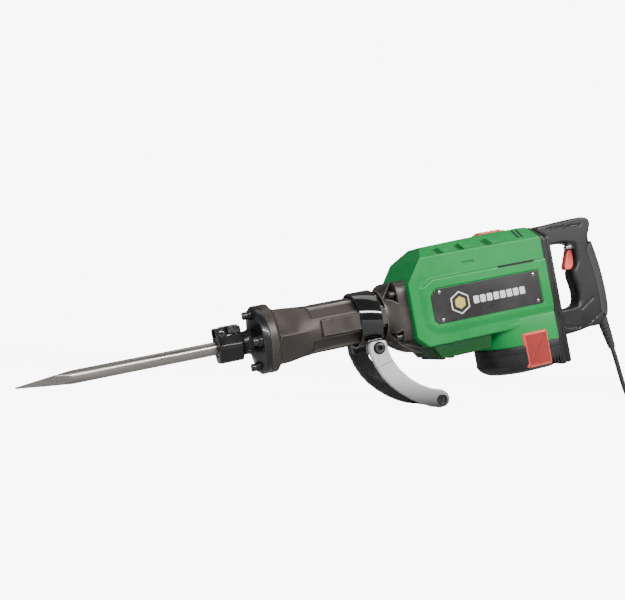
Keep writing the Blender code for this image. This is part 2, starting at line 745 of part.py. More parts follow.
def make_rear_grip():
    """Rear frame, split D grip, rubber back, trigger, lock button and switch."""
    x0 = HOUSING_REAR + GAP
    plate_half = HOUSING_HALF - 2
    plate = [(x0, 106), (PLATE_REAR - 6, 105), (PLATE_REAR, 56), (PLATE_REAR, -36),
             (PLATE_REAR - 3, -98), (PLATE_REAR - 6, -146), (x0, -146)]
    prism("rear_frame", plate, "Y", -plate_half, plate_half, black_plastic(), 3.0)
    for side, name in ((-1, "left"), (1, "right")):
        lo, hi = sorted((side * GAP / 2, side * GRIP_HALF))
        half = prism(f"grip_half_{name}", grip_outline(), "Y", lo, hi, black_plastic())
        opening = prism(f"grip_opening_{name}", grip_opening(), "Y", -40, 40, None)
        pocket = block(f"switch_room_{name}", PLATE_REAR + 42, PLATE_REAR + 106, -9, 9, 12, 60, None)
        cut(half, opening, pocket)
    back = from_plate([(109.6, 61), (114.4, 33), (119.4, -6), (120.4, -48), (118.6, -75), (123, -78),
                       (125.5, -48), (124.5, -6), (119.5, 33), (114.5, 61), (112, 68), (109.6, 68)])
    prism("grip_rubber", back, "Y", -14, 14, black_rubber())
    trigger = from_plate([(65, 58), (56, 38), (49, 22), (53, 16), (68, 16), (73, 20), (75, 40), (73, 58)])
    prism("trigger", trigger, "Y", -6.5, 6.5, red_plastic(), 0.8)
    block("switch_body", PLATE_REAR + 82, PLATE_REAR + 105, -8.4, 8.4, 14, 58, black_plastic())
    front = PLATE_REAR + 55
    rear = PLATE_REAR + 63
    outline = arc(front, 58, 2.2, 90, 270, 6) + arc(rear, 58, 2.2, -90, 90, 6)
    button = prism("lock_button", outline, "Y", -GRIP_HALF - 2.5, -9.5, bright_steel())
    hole_line = arc(front, 58, 2.5, 90, 270, 6) + arc(rear, 58, 2.5, -90, 90, 6)
    hole = prism("button_hole", hole_line, "Y", -GRIP_HALF - 8, -6, None)
    cut(bpy.data.objects["grip_half_left"], hole)
    return button


def arm_outline():
    """Side view (x, z) of one side-handle arm, widest at the clamp."""
    return [
        (74, -30), (74, -58), (80, -80), (89, -100), (100, -116), (114, -131), (130, -145),
        (148, -157), (166, -166), (181, -170.5), (192, -170), (199, -165), (201.5, -157),
        (199, -148), (191, -141), (170, -134), (153, -124), (137, -111), (122, -93), (111, -73),
        (107, -57), (106, -30),
    ]


def make_side_handle():
    """Clamp band, two curved arms, cross grip and their screws."""
    band = ring_solid("clamp_band", BAND_X0, BAND_X1, BARREL_R + GAP + 1.9, BAND_R, black_gloss())
    clamp_at = (92, 0, -48)
    for side, name in ((-1, "left"), (1, "right")):
        lo, hi = sorted((side * (BARREL_R - 9), side * (ARM_IN - GAP)))
        lug = block(f"lug_{name}", 76, 105, lo, hi, -60, -34, None)
        weld(band, lug)
        hole = rod(f"lug_hole_{name}", side * 30, side * (ARM_OUT + 5), 4 + GAP, None, "Y",
                   clamp_at, 14)
        cut(band, hole)
        lo, hi = sorted((side * ARM_IN, side * ARM_OUT))
        arm = prism(f"handle_arm_{name}", arm_outline(), "Y", lo, hi, black_gloss(), 2.0)
        cut(arm, hole)
        grip_hole = rod(f"arm_hole_{name}", side * 30, side * (ARM_OUT + 15), 5 + GAP, None, "Y",
                        (GRIP_X, 0, GRIP_Z), 16)
        cut(arm, grip_hole)
        profile = [(side * (BARREL_R - 6), 0), (side * (BARREL_R - 6), 4), (side * (ARM_OUT + GAP), 4),
                   (side * (ARM_OUT + GAP), 6.6), (side * (ARM_OUT + 3.4), 6.6),
                   (side * (ARM_OUT + 4.4), 5.4), (side * (ARM_OUT + 4.4), 0)]
        lathe(f"clamp_screw_{name}", profile, bright_steel(), "Y", clamp_at, 14)
    at = (GRIP_X, 0, GRIP_Z)
    inside = ARM_IN - GAP
    profile = [(-inside, 5 + GAP), (-inside, SIDE_GRIP_R - 1), (-inside + 1.5, SIDE_GRIP_R),
               (inside - 1.5, SIDE_GRIP_R), (inside, SIDE_GRIP_R - 1), (inside, 5 + GAP)]
    lathe("side_grip", profile, black_rubber(), "Y", at, 24)
    end = ARM_OUT + GAP
    profile = [(-end - 4, 0), (-end - 4, 7.5), (-end - 3, 9), (-end, 9), (-end, 5), (end, 5), (end, 9),
               (end + 3, 9), (end + 4, 7.5), (end + 4, 0)]
    bolt = lathe("grip_bolt", profile, black_gloss(), "Y", at, 16)
    return bolt


def stand_tilt():
    """Nose-down angle at which the chisel point and the side handle both meet the floor."""
    start_x = TIP_X + TIP_LENGTH
    return max(math.atan2(-z - TIP_R, x - start_x) for x, z in arm_outline())


def to_world(x, z, tilt):
    """World (x, z), in millimetres, of a tool-frame point before the frame is centred."""
    c = math.cos(tilt)
    s = math.sin(tilt)
    return x * c - z * s, z * c + x * s


def boot_line():
    """Start and end (x, z) in the tool frame of the cord's strain relief."""
    return (PLATE_REAR + 114, -80.0), (PLATE_REAR + 126, -146.0)


def make_boot():
    """Tapered rubber strain relief under the grip; it holds the first of the cord."""
    (x0, z0), (x1, z1) = boot_line()
    length = math.hypot(x1 - x0, z1 - z0)
    inner = CORD_R + GAP
    profile = [(0, inner), (0, 9.5), (10, 9.5), (14, 8.6), (length, 6.2), (length, inner)]
    boot = lathe("cord_boot", profile, black_rubber(), "Z", (0, 0, 0), 24)
    boot.location = Vector((x0, 0, z0)) * MM
    boot.rotation_euler = (0, math.atan2(x1 - x0, z1 - z0), 0)
    clear = lathe("boot_room", [(-30, 0), (-30, 9.8), (length, 9.8), (length, 0)], None, "Z")
    clear.location = boot.location
    clear.rotation_euler = boot.rotation_euler
    for name in ("grip_half_left", "grip_half_right"):
        cut(bpy.data.objects[name], clear)


def bezier(p0, p1, p2, p3, t):
    """Point of a cubic curve."""
    u = 1 - t
    return tuple(
        u ** 3 * a + 3 * u * u * t * b + 3 * u * t * t * c + t ** 3 * d
        for a, b, c, d in zip(p0, p1, p2, p3)
    )


def cord_route(tilt, shift):
    """World route of the cord's run, in millimetres: out of the boot, down, and to the coil."""
    (x0, z0), (x1, z1) = boot_line()
    start = to_world(x0 + (x1 - x0) * 0.25, z0 + (z1 - z0) * 0.25, tilt)
    leave = to_world(x1, z1, tilt)
    dx = leave[0] - start[0]
    dz = leave[1] - start[1]
    norm = math.hypot(dx, dz)
    dx /= norm
    dz /= norm
    sx, sz = shift
    p0 = (leave[0] + sx, 0, leave[1] + sz)
    rest = CORD_R + 0.2
    land = (p0[0] + 84, 6, rest)
    p1 = (p0[0] + dx * 62, 0, p0[2] + dz * 62)
    p2 = (land[0] - 46, 3, rest)
    route = [(start[0] + sx, 0, start[1] + sz)]
    route += [bezier(p0, p1, p2, land, k / 14) for k in range(15)]
    coil = (land[0] + 52 + COIL_R, RUN_Y + COIL_R + COIL_PITCH)
    outer = COIL_R + COIL_HALF
    beside = coil[1] - RUN_Y - CORD_R
    route.append((land[0] + 26, RUN_Y, rest))
    route.append((coil[0] - math.sqrt(outer * outer - beside * beside) - 2 * GAP, RUN_Y, rest))
    return route, coil


def make_cord(tilt, shift):
    """Mains cord: the run as a tube, the put-away length as a turned ring, and the plug."""
    route, coil = cord_route(tilt, shift)
    curve = bpy.data.curves.new("cord", "CURVE")
    curve.dimensions = "3D"
    curve.bevel_depth = CORD_R * MM
    curve.bevel_resolution = 2
    curve.use_fill_caps = True
    line = curve.splines.new("POLY")
    line.points.add(len(route) - 1)
    for point, place in zip(line.points, route):
        point.co = (*(Vector(place) * MM), 1.0)
    cord = bpy.data.objects.new("cord", curve)
    curve.materials.append(black_rubber())
    PARTS.objects.link(cord)
    cx, cy = coil
    inner = COIL_R - COIL_HALF
    outer = COIL_R + COIL_HALF
    profile = [(0.2, inner + 3), (3, inner), (16, inner), (19, inner + 3), (19, outer - 3),
               (16, outer), (3, outer), (0.2, outer - 3)]
    lathe("cord_coil", profile, black_rubber(), "Z", (cx, cy, 0), 40)
    py = cy - COIL_R + 4
    plug = block("mains_plug", cx - 5, cx + 38, py - 15.8, py + 15.8, 19.3, 38.6, black_rubber(), 3.0)
    for side in (-1, 1):
        pin = rod(f"plug_pin_{side + 2}", cx + 36, cx + 56, 2.4, None, "X", (0, py + 9.5 * side, 28.5), 12)
        weld(plug, pin)


def lowest_and_ends(names):
    """World bounds in millimetres of the named objects after their modifiers."""
    graph = bpy.context.evaluated_depsgraph_get()
    low = [math.inf] * 3
    high = [-math.inf] * 3
    for name in names:
        obj = bpy.data.objects[name].evaluated_get(graph)
        mesh = obj.to_mesh()
        for vertex in mesh.vertices:
            place = obj.matrix_world @ vertex.co
            for k in range(3):
                low[k] = min(low[k], place[k] / MM)
                high[k] = max(high[k], place[k] / MM)
        obj.to_mesh_clear()
    return low, high


def main():
    make_chisel()
    make_front_cover()
    make_retainer()
    make_front_bolts()
    make_barrel()
    make_impact_train()
    make_gears()
    make_motor()
    make_crank_case()
    make_housing()
    make_lower_cover()
    make_brush_caps()
    make_trim()
    make_rear_grip()
    make_side_handle()
    make_boot()
    tilt = stand_tilt()
    frame = bpy.data.objects.new("stand", None)
    PARTS.objects.link(frame)
    bodies = list(PARTS.objects) + list(CUTTERS.objects)
    for obj in bodies:
        if obj is not frame:
            obj.parent = frame
    frame.rotation_euler = (0, -tilt, 0)
    bpy.context.view_layer.update()
    solids = [obj.name for obj in PARTS.objects if obj is not frame]
    low, high = lowest_and_ends(solids)
    shift = (-(low[0] + high[0]) / 2, -low[2])
    frame.location = (shift[0] * MM, 0, shift[1] * MM)
    make_cord(tilt, shift)


main()
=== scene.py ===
"""Visual model of an electric demolition hammer, built round its packed mechanical frame.

Shapes are worked out in the tool frame, in millimetres: X runs along the barrel axis from the nose
(minus) to the rear grip (plus), Y to the right-hand side and Z up through the motor. ToolFrame puts
them into the row frame, in metres, from the side handle's hinge, which lies on the barrel axis.
"""

from __future__ import annotations

import json
import logging
import math
from dataclasses import dataclass, field
from enum import Enum

import bmesh
import bpy
import numpy as np
from mathutils import Matrix


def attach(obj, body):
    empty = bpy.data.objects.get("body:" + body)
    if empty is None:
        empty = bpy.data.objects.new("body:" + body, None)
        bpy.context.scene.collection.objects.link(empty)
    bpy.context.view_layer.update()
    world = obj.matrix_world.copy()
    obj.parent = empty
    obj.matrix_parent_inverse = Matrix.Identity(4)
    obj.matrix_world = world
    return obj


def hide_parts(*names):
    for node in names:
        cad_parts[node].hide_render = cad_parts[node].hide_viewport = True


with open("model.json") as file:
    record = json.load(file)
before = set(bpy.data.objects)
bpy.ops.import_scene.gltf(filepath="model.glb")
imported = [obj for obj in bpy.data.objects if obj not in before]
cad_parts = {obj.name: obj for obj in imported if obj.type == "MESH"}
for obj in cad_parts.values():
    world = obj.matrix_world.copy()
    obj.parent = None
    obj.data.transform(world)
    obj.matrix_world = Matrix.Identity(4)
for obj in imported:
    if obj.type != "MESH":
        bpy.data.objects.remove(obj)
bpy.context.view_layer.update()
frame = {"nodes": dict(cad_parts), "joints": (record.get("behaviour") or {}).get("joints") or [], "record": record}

MM = 0.001
LOG = logging.getLogger("demolition_hammer")


class Slot(Enum):
    """Material slots of the record."""

    GREEN = "green_shell"
    CAST = "black_cast"
    PLASTIC = "black_plastic"
    GLOSS = "black_gloss"
    RUBBER = "black_rubber"
    CASTING = "bronze_grey"
    STEEL = "tool_steel"
    BRIGHT = "bright_steel"
    RED = "red_plastic"
    PLATE = "dark_plate"
    COPPER = "copper"
    IRON = "iron_core"
    CARBON = "carbon"


# ---------------------------------------------------------------------------------------------
# Finishes
# ---------------------------------------------------------------------------------------------


@dataclass(frozen=True)
class Finish:
    """A surface finish: colour with mottling, painted shade in hollows, worn edges, grain and uneven gloss."""

    name: str
    slot: Slot
    colour: tuple[float, float, float]
    # colour of the painted shade: laid in inward bends, and the dark end of the painted reflection fade
    hollow: tuple[float, float, float]
    worn: tuple[float, float, float]
    roughness: float
    metallic: float = 0.0
    wear: float = 0.35
    mottle: float = 0.12
    mottle_scale: float = 14.0
    grain_scale: float = 900.0
    grain_depth: float = 0.00006
    gloss_spread: float = 0.12
    stretch: tuple[float, float, float] = (1.0, 1.0, 1.0)
    coat: float = 0.0
    specular: float = 0.5
    # heights over which a painted reflection fades into the painted shade colour
    painted_fade: tuple[float, float] | None = None

    def material(self) -> bpy.types.Material:
        """Gives this finish's node material, made once.

        Returns:
            The material.
        """
        found = bpy.data.materials.get(self.name)
        if found:
            return found
        made = bpy.data.materials.new(self.name)
        made.use_nodes = True
        tree = made.node_tree
        shader = tree.nodes["Principled BSDF"]
        shader.inputs["Metallic"].default_value = self.metallic
        shader.inputs["Coat Weight"].default_value = self.coat
        shader.inputs["Coat Roughness"].default_value = 0.06
        shader.inputs["Specular IOR Level"].default_value = self.specular
        place = tree.nodes.new("ShaderNodeTexCoord").outputs["Object"]
        turned = tree.nodes.new("ShaderNodeMapping")
        turned.inputs["Scale"].default_value = self.stretch
        tree.links.new(place, turned.inputs["Vector"])
        along = turned.outputs["Vector"]
        blotch = self.noise(tree, along, self.mottle_scale, 5.0)
        speckle = self.noise(tree, along, self.mottle_scale * 17.0, 3.0)
        fine = self.noise(tree, along, self.grain_scale, 2.0)
        dark = tuple(c * (1.0 - self.mottle) for c in self.colour)
        light = tuple(min(1.0, c * (1.0 + self.mottle)) for c in self.colour)
        base = self.mix(tree, self.remap(tree, blotch, 0.35, 0.65, 0.0, 1.0), dark, light)
        # Painted reflection: lighter at the top, fading into the painted shade colour down the height range.
        if self.painted_fade:
            base = self.painted_fade_blend(tree, place, base)
        # Painted shade: the colour darkens towards the painted shade colour where the surface bends inward.
        shade_mask = tree.nodes.new("ShaderNodeAttribute")
        shade_mask.attribute_name = "hollow"
        shade_share = self.remap(tree, shade_mask.outputs["Fac"], 0.05, 0.9, 0.0, 0.9)
        base = self.mix(tree, shade_share, base, self.hollow)
        rim = tree.nodes.new("ShaderNodeAttribute")
        rim.attribute_name = "edge"
        rubbed = tree.nodes.new("ShaderNodeMath")
        rubbed.operation = "MULTIPLY"
        tree.links.new(self.remap(tree, rim.outputs["Fac"], 0.12, 0.85, 0.0, self.wear), rubbed.inputs[0])
        tree.links.new(self.remap(tree, speckle, 0.36, 0.62, 0.25, 1.0), rubbed.inputs[1])
        base = self.mix(tree, rubbed.outputs["Value"], base, self.worn)
        tree.links.new(base, shader.inputs["Base Color"])
        rough = self.remap(tree, blotch, 0.3, 0.7, max(0.03, self.roughness - self.gloss_spread),
                           min(1.0, self.roughness + self.gloss_spread))
        tree.links.new(rough, shader.inputs["Roughness"])
        bump = tree.nodes.new("ShaderNodeBump")
        bump.inputs["Strength"].default_value = 0.6
        bump.inputs["Distance"].default_value = self.grain_depth
        tree.links.new(fine, bump.inputs["Height"])
        tree.links.new(bump.outputs["Normal"], shader.inputs["Normal"])
        return made

    def painted_fade_blend(self, tree: bpy.types.NodeTree, place: bpy.types.NodeSocket,
              base: bpy.types.NodeSocket) -> bpy.types.NodeSocket:
        """Paints a reflection that fades: blends the colour into the painted shade colour down the height range
        `painted_fade`.

        Args:
            tree: the node tree.
            place: object coordinates.
            base: colour socket so far.

        Returns:
            The blended colour socket.
        """
        split = tree.nodes.new("ShaderNodeSeparateXYZ")
        tree.links.new(place, split.inputs["Vector"])
        share = self.remap(tree, split.outputs["Z"], self.painted_fade[0], self.painted_fade[1], 1.0, 0.0)
        return self.mix(tree, share, base, self.hollow)

    @staticmethod
    def noise(tree: bpy.types.NodeTree, place: bpy.types.NodeSocket, scale: float,
              detail: float) -> bpy.types.NodeSocket:
        """Adds a noise texture.

        Args:
            tree: the node tree.
            place: coordinates.
            scale: cells to the metre.
            detail: octaves.

        Returns:
            Its value socket.
        """
        node = tree.nodes.new("ShaderNodeTexNoise")
        node.inputs["Scale"].default_value = scale
        node.inputs["Detail"].default_value = detail
        tree.links.new(place, node.inputs["Vector"])
        return node.outputs["Fac"]

    @staticmethod
    def remap(tree: bpy.types.NodeTree, value: bpy.types.NodeSocket, low: float, high: float,
              to_low: float, to_high: float) -> bpy.types.NodeSocket:
        """Maps a value from one range to another, clamped.

        Args:
            tree: the node tree.
            value: socket that is read.
            low: start of its range.
            high: end of its range.
            to_low: result at the start.
            to_high: result at the end.

        Returns:
            The result socket.
        """
        node = tree.nodes.new("ShaderNodeMapRange")
        for key, number in zip(("From Min", "From Max", "To Min", "To Max"), (low, high, to_low, to_high)):
            node.inputs[key].default_value = number
        tree.links.new(value, node.inputs["Value"])
        return node.outputs["Result"]

    @staticmethod
    def mix(tree: bpy.types.NodeTree, share: bpy.types.NodeSocket, first: object,
            second: object) -> bpy.types.NodeSocket:
        """Mixes two colours.

        Args:
            tree: the node tree.
            share: how much of the second.
            first: colour or colour socket.
            second: colour or colour socket.

        Returns:
            The mixed colour socket.
        """
        node = tree.nodes.new("ShaderNodeMix")
        node.data_type = "RGBA"
        tree.links.new(share, node.inputs[0])
        for key, colour in ((6, first), (7, second)):
            if isinstance(colour, tuple):
                node.inputs[key].default_value = (*colour, 1.0)
            else:
                tree.links.new(colour, node.inputs[key])
        return node.outputs[2]


# Each finish's second colour is its painted shade colour, laid where the surface bends inward.
GREEN = Finish("moulded_green_shell", Slot.GREEN, (0.002, 0.262, 0.052), (0.0, 0.06, 0.012),
               (0.07, 0.55, 0.16), 0.40, wear=0.5, mottle=0.05, grain_scale=1500, coat=0.05, specular=0.35)
# Shaded copy of the green shell: painted shade for the belly and the window floors.
SHADED_GREEN = Finish("shaded_green_shell", Slot.GREEN, (0.0, 0.07, 0.008), (0.0, 0.03, 0.006),
                    (0.01, 0.26, 0.06), 0.42, wear=0.35, mottle=0.06, grain_scale=1500)
CAST = Finish("black_cast_iron", Slot.CAST, (0.010, 0.010, 0.011), (0.006, 0.006, 0.007),
              (0.20, 0.20, 0.21), 0.33, metallic=0.35, wear=0.5, mottle=0.25, grain_scale=520,
              grain_depth=0.00016, coat=0.3)
CASTING = Finish("warm_grey_casting", Slot.CASTING, (0.066, 0.058, 0.051), (0.02, 0.018, 0.016),
                 (0.42, 0.40, 0.37), 0.42, metallic=0.55, wear=0.6, mottle=0.14, mottle_scale=22,
                 grain_scale=430, grain_depth=0.0002)
GLOSS = Finish("gloss_black_paint", Slot.GLOSS, (0.005, 0.005, 0.005), (0.004, 0.004, 0.004),
               (0.10, 0.10, 0.10), 0.09, wear=0.2, coat=0.8, gloss_spread=0.03, grain_scale=300,
               grain_depth=0.00003)
# Near arm: the black lacquer lit with a painted reflection, light grey at the top and fading to black down the
# arm.
ARM_PAINTED_REFLECTION = Finish("side_arm_grey_lacquer", Slot.GLOSS, (0.66, 0.66, 0.66), (0.02, 0.02, 0.02),
             (0.7, 0.7, 0.7), 0.28, metallic=0.2, wear=0.3, coat=0.6, gloss_spread=0.05,
             mottle=0.05, painted_fade=(0.002, 0.052))
FAR_ARM = Finish("side_arm_black_lacquer", Slot.GLOSS, (0.02, 0.02, 0.02), (0.006, 0.006, 0.006),
                 (0.15, 0.15, 0.15), 0.25, wear=0.3, coat=0.6, gloss_spread=0.05)
PLASTIC = Finish("black_nylon", Slot.PLASTIC, (0.009, 0.009, 0.010), (0.003, 0.003, 0.003),
                 (0.07, 0.07, 0.075), 0.42, wear=0.45, mottle=0.12, grain_scale=1300,
                 grain_depth=0.00009)
RUBBER = Finish("black_soft_rubber", Slot.RUBBER, (0.030, 0.030, 0.031), (0.01, 0.01, 0.01),
                (0.13, 0.13, 0.13), 0.62, wear=0.35, mottle=0.15, grain_scale=1900,
                grain_depth=0.00012)
STEEL = Finish("ground_tool_steel", Slot.STEEL, (0.33, 0.31, 0.29), (0.10, 0.09, 0.08),
               (0.72, 0.70, 0.67), 0.30, metallic=0.92, wear=0.5, mottle=0.18, mottle_scale=30,
               grain_scale=700, stretch=(0.12, 1.0, 1.0), gloss_spread=0.1)
BRIGHT = Finish("zinc_plated_steel", Slot.BRIGHT, (0.62, 0.62, 0.63), (0.10, 0.10, 0.10),
                (0.85, 0.85, 0.86), 0.22, metallic=1.0, wear=0.3, mottle=0.1, mottle_scale=60)
SCREW = Finish("black_oxide_screw", Slot.CAST, (0.035, 0.035, 0.037), (0.006, 0.006, 0.006),
               (0.32, 0.32, 0.33), 0.22, metallic=0.7, wear=0.7, coat=0.4)
RED = Finish("moulded_red", Slot.RED, (1.0, 0.13, 0.095), (0.26, 0.010, 0.008),
             (0.82, 0.22, 0.17), 0.40, wear=0.35, mottle=0.05, grain_scale=1500, coat=0.1)
PLATE = Finish("dark_printed_plate", Slot.PLATE, (0.030, 0.028, 0.028), (0.008, 0.008, 0.008),
               (0.12, 0.12, 0.12), 0.34, wear=0.4, mottle=0.1, grain_scale=2000, grain_depth=0.00002)
WHITE = Finish("plate_white_print", Slot.PLATE, (0.74, 0.74, 0.72), (0.3, 0.3, 0.3),
               (0.9, 0.9, 0.9), 0.45, wear=0.1, mottle=0.03)
YELLOW = Finish("plate_yellow_print", Slot.PLATE, (0.62, 0.50, 0.10), (0.3, 0.22, 0.05),
                (0.8, 0.7, 0.3), 0.45, wear=0.1, mottle=0.04)
VOID = Finish("vent_shadow", Slot.PLASTIC, (0.006, 0.006, 0.006), (0.002, 0.002, 0.002),
              (0.02, 0.02, 0.02), 0.6, wear=0.1)
COPPER = Finish("drawn_copper", Slot.COPPER, (0.55, 0.22, 0.10), (0.2, 0.07, 0.03),
                (0.8, 0.45, 0.3), 0.3, metallic=1.0)
IRON = Finish("laminated_iron", Slot.IRON, (0.18, 0.18, 0.19), (0.04, 0.04, 0.04),
              (0.4, 0.4, 0.4), 0.45, metallic=0.8, stretch=(1.0, 1.0, 8.0), mottle_scale=60)
CARBON = Finish("pressed_carbon", Slot.CARBON, (0.03, 0.03, 0.032), (0.01, 0.01, 0.01),
                (0.1, 0.1, 0.1), 0.6, mottle=0.2)

CARRIED_FINISHES = {
    Slot.GREEN: GREEN, Slot.CAST: CAST, Slot.PLASTIC: PLASTIC, Slot.GLOSS: GLOSS, Slot.RUBBER: RUBBER,
    Slot.CASTING: CASTING, Slot.STEEL: STEEL, Slot.BRIGHT: BRIGHT, Slot.RED: RED, Slot.PLATE: PLATE,
    Slot.COPPER: COPPER, Slot.IRON: IRON, Slot.CARBON: CARBON,
}


# ---------------------------------------------------------------------------------------------
# Surfaces
# ---------------------------------------------------------------------------------------------


@dataclass
class Surface:
    """Points in millimetres and the faces between them."""

    points: np.ndarray
    faces: list[tuple[int, ...]] = field(default_factory=list)

    def joined(self, *others: "Surface") -> "Surface":
        """Puts several surfaces into one.

        Args:
            others: the surfaces that follow this one.

        Returns:
            The joined surface.
        """
        points = [self.points]
        faces = list(self.faces)
        start = len(self.points)
        for other in others:
            points.append(other.points)
            faces += [tuple(start + i for i in f) for f in other.faces]
            start += len(other.points)
        return Surface(np.concatenate(points), faces)

    def mirrored(self) -> "Surface":
        """The same surface on the other side of the tool's middle plane."""
        return Surface(self.points * (1, -1, 1), self.faces)


def round_grid(grid: np.ndarray, closed_rows: bool = False) -> Surface:
    """Skins a grid whose columns go all the way round.

    Row i, column j joins row i, column j+1 and row i+1; the first and last rows are filled flat,
    unless the rows go round too.

    Args:
        grid: points, (rows, columns, 3).
        closed_rows: True where the last row joins the first.

    Returns:
        The closed surface.
    """
    rows, cols = grid.shape[:2]
    i = np.arange(rows if closed_rows else rows - 1)[:, None]
    j = np.arange(cols)[None, :]
    after = (i + 1) % rows
    beside = (j + 1) % cols
    quads = np.stack([i * cols + j, i * cols + beside, after * cols + beside, after * cols + j], -1)
    faces = [tuple(f) for f in quads.reshape(-1, 4).tolist()]
    if not closed_rows:
        faces.append(tuple(range(cols))[::-1])
        faces.append(tuple(range((rows - 1) * cols, rows * cols)))
    return Surface(grid.reshape(-1, 3), faces)


def axis_points(along: np.ndarray, across: np.ndarray, up: np.ndarray, axis: str) -> np.ndarray:
    """Stacks coordinates for a shape whose axis is X, Y or Z.

    Args:
        along: distance along the axis.
        across: first coordinate across it.
        up: second coordinate across it.
        axis: "X", "Y" or "Z".

    Returns:
        Points with a last dimension of 3; (across, up) is (y, z), (x, z) or (x, y).
    """
    order = {"X": (along, across, up), "Y": (across, along, up), "Z": (across, up, along)}[axis]
    return np.stack(np.broadcast_arrays(*order), -1)


def revolved(profile: list[tuple[float, float]], axis: str = "X",
             centre: tuple[float, float, float] = (0, 0, 0),
             steps: int = 48) -> Surface:
    """Turns a profile of (distance along, radius) round an axis: a circle of that radius at each point.

    Args:
        profile: (along, radius) pairs from one end to the other.
        axis: "X", "Y" or "Z".
        centre: a point on the axis.
        steps: points round each circle.

    Returns:
        The closed surface.
    """
    table = np.array(profile, float)
    angle = np.linspace(0, 2 * np.pi, steps, endpoint=False)[None, :]
    along = table[:, :1]
    radius = np.maximum(table[:, 1:], 1e-4)
    grid = axis_points(along, radius * np.cos(angle), radius * np.sin(angle), axis)
    return round_grid(grid + np.array(centre, float))


def polar_rows(x: np.ndarray, radius: np.ndarray, angle: np.ndarray) -> np.ndarray:
    """Grid of points round the barrel axis: at each x, the radius as a function of the angle from +Y.

    Args:
        x: (rows,) or (rows, columns) distances along the axis.
        radius: (rows, columns) radii.
        angle: (columns,) angles.

    Returns:
        The grid, (rows, columns, 3).
    """
    x = x[:, None] if x.ndim == 1 else x
    return axis_points(x, radius * np.cos(angle), radius * np.sin(angle), "X")


def flats(angle: np.ndarray, apothem: float, sides: int, turn: float, limit: float) -> np.ndarray:
    """Radius of a regular polygon with clipped corners: apothem over the cosine of the angle off a flat.

    Args:
        angle: angles from +Y.
        apothem: centre to flat.
        sides: number of flats.
        turn: angle of one flat's normal.
        limit: radius at which corners are turned off.

    Returns:
        The radii.
    """
    step = 2 * np.pi / sides
    off = (angle - turn + step / 2) % step - step / 2
    return np.minimum(apothem / np.cos(off), limit)


def smooth(t: np.ndarray) -> np.ndarray:
    """Smooth step: three t squared less two t cubed, with t held between 0 and 1."""
    t = np.clip(t, 0, 1)
    return t * t * (3 - 2 * t)


def rounded_rings(corners: np.ndarray, radius: np.ndarray, bend: int, straight: list[int]) -> np.ndarray:
    """Rings whose corners are turned into curves, for many cross-sections at once.

    Each corner C is replaced by the curve (1-s)^2 A + 2s(1-s) C + s^2 B, with A and B on the two
    sides, the tangent length of that radius away and never past 45% of a side. The straight parts
    are evenly spaced points.

    Args:
        corners: (sections, corners, 2).
        radius: (sections, corners) corner radii.
        bend: points on each corner curve.
        straight: number of points inside the side that follows each corner.

    Returns:
        (sections, points, 2).
    """
    before = np.roll(corners, 1, axis=1) - corners
    after = np.roll(corners, -1, axis=1) - corners
    len_before = np.maximum(np.linalg.norm(before, axis=2), 1e-6)
    len_after = np.maximum(np.linalg.norm(after, axis=2), 1e-6)
    unit_before = before / len_before[..., None]
    unit_after = after / len_after[..., None]
    cosine = np.clip((unit_before * unit_after).sum(2), -0.9999, 0.9999)
    reach = radius / np.tan(np.arccos(cosine) / 2)
    reach = np.minimum(reach, 0.45 * np.minimum(len_before, len_after))[..., None]
    start = corners + unit_before * reach
    end = corners + unit_after * reach
    s = np.linspace(0, 1, bend)[None, :, None]
    parts = []
    count = corners.shape[1]
    for k in range(count):
        a, c, b = start[:, k, None], corners[:, k, None], end[:, k, None]
        parts.append((1 - s) ** 2 * a + 2 * s * (1 - s) * c + s ** 2 * b)
        inside = straight[k]
        if inside:
            t = (np.arange(1, inside + 1) / (inside + 1))[None, :, None]
            following = start[:, (k + 1) % count, None]
            parts.append(b + (following - b) * t)
    return np.concatenate(parts, axis=1)


def rounded_outline(points: list[tuple[float, float]], radius: float, bend: int = 5) -> np.ndarray:
    """An outline with its corners rounded.

    Args:
        points: the corners.
        radius: corner radius.
        bend: points on each corner.

    Returns:
        (points, 2).
    """
    corners = np.array(points, float)[None]
    rings = rounded_rings(corners, np.full(corners.shape[:2], radius), bend, [0] * len(points))
    return rings[0]


def inset(outline: np.ndarray, distance: float) -> np.ndarray:
    """Moves an outline inward: each point along the mean of its two sides' normals, by the miter rule.

    Args:
        outline: (points, 2), in either direction.
        distance: how far.

    Returns:
        The moved outline.
    """
    after = np.roll(outline, -1, axis=0) - outline
    length = np.maximum(np.linalg.norm(after, axis=1, keepdims=True), 1e-9)
    normal = np.stack([-after[:, 1], after[:, 0]], 1) / length
    area = 0.5 * np.sum(outline[:, 0] * np.roll(outline[:, 1],
                                                -1) - np.roll(outline[:, 0], -1) * outline[:, 1])
    normal *= math.copysign(1.0, area)
    mean = normal + np.roll(normal, 1, axis=0)
    square = np.maximum((mean ** 2).sum(1, keepdims=True), 0.35)
    return outline + mean * (2 * distance / square)


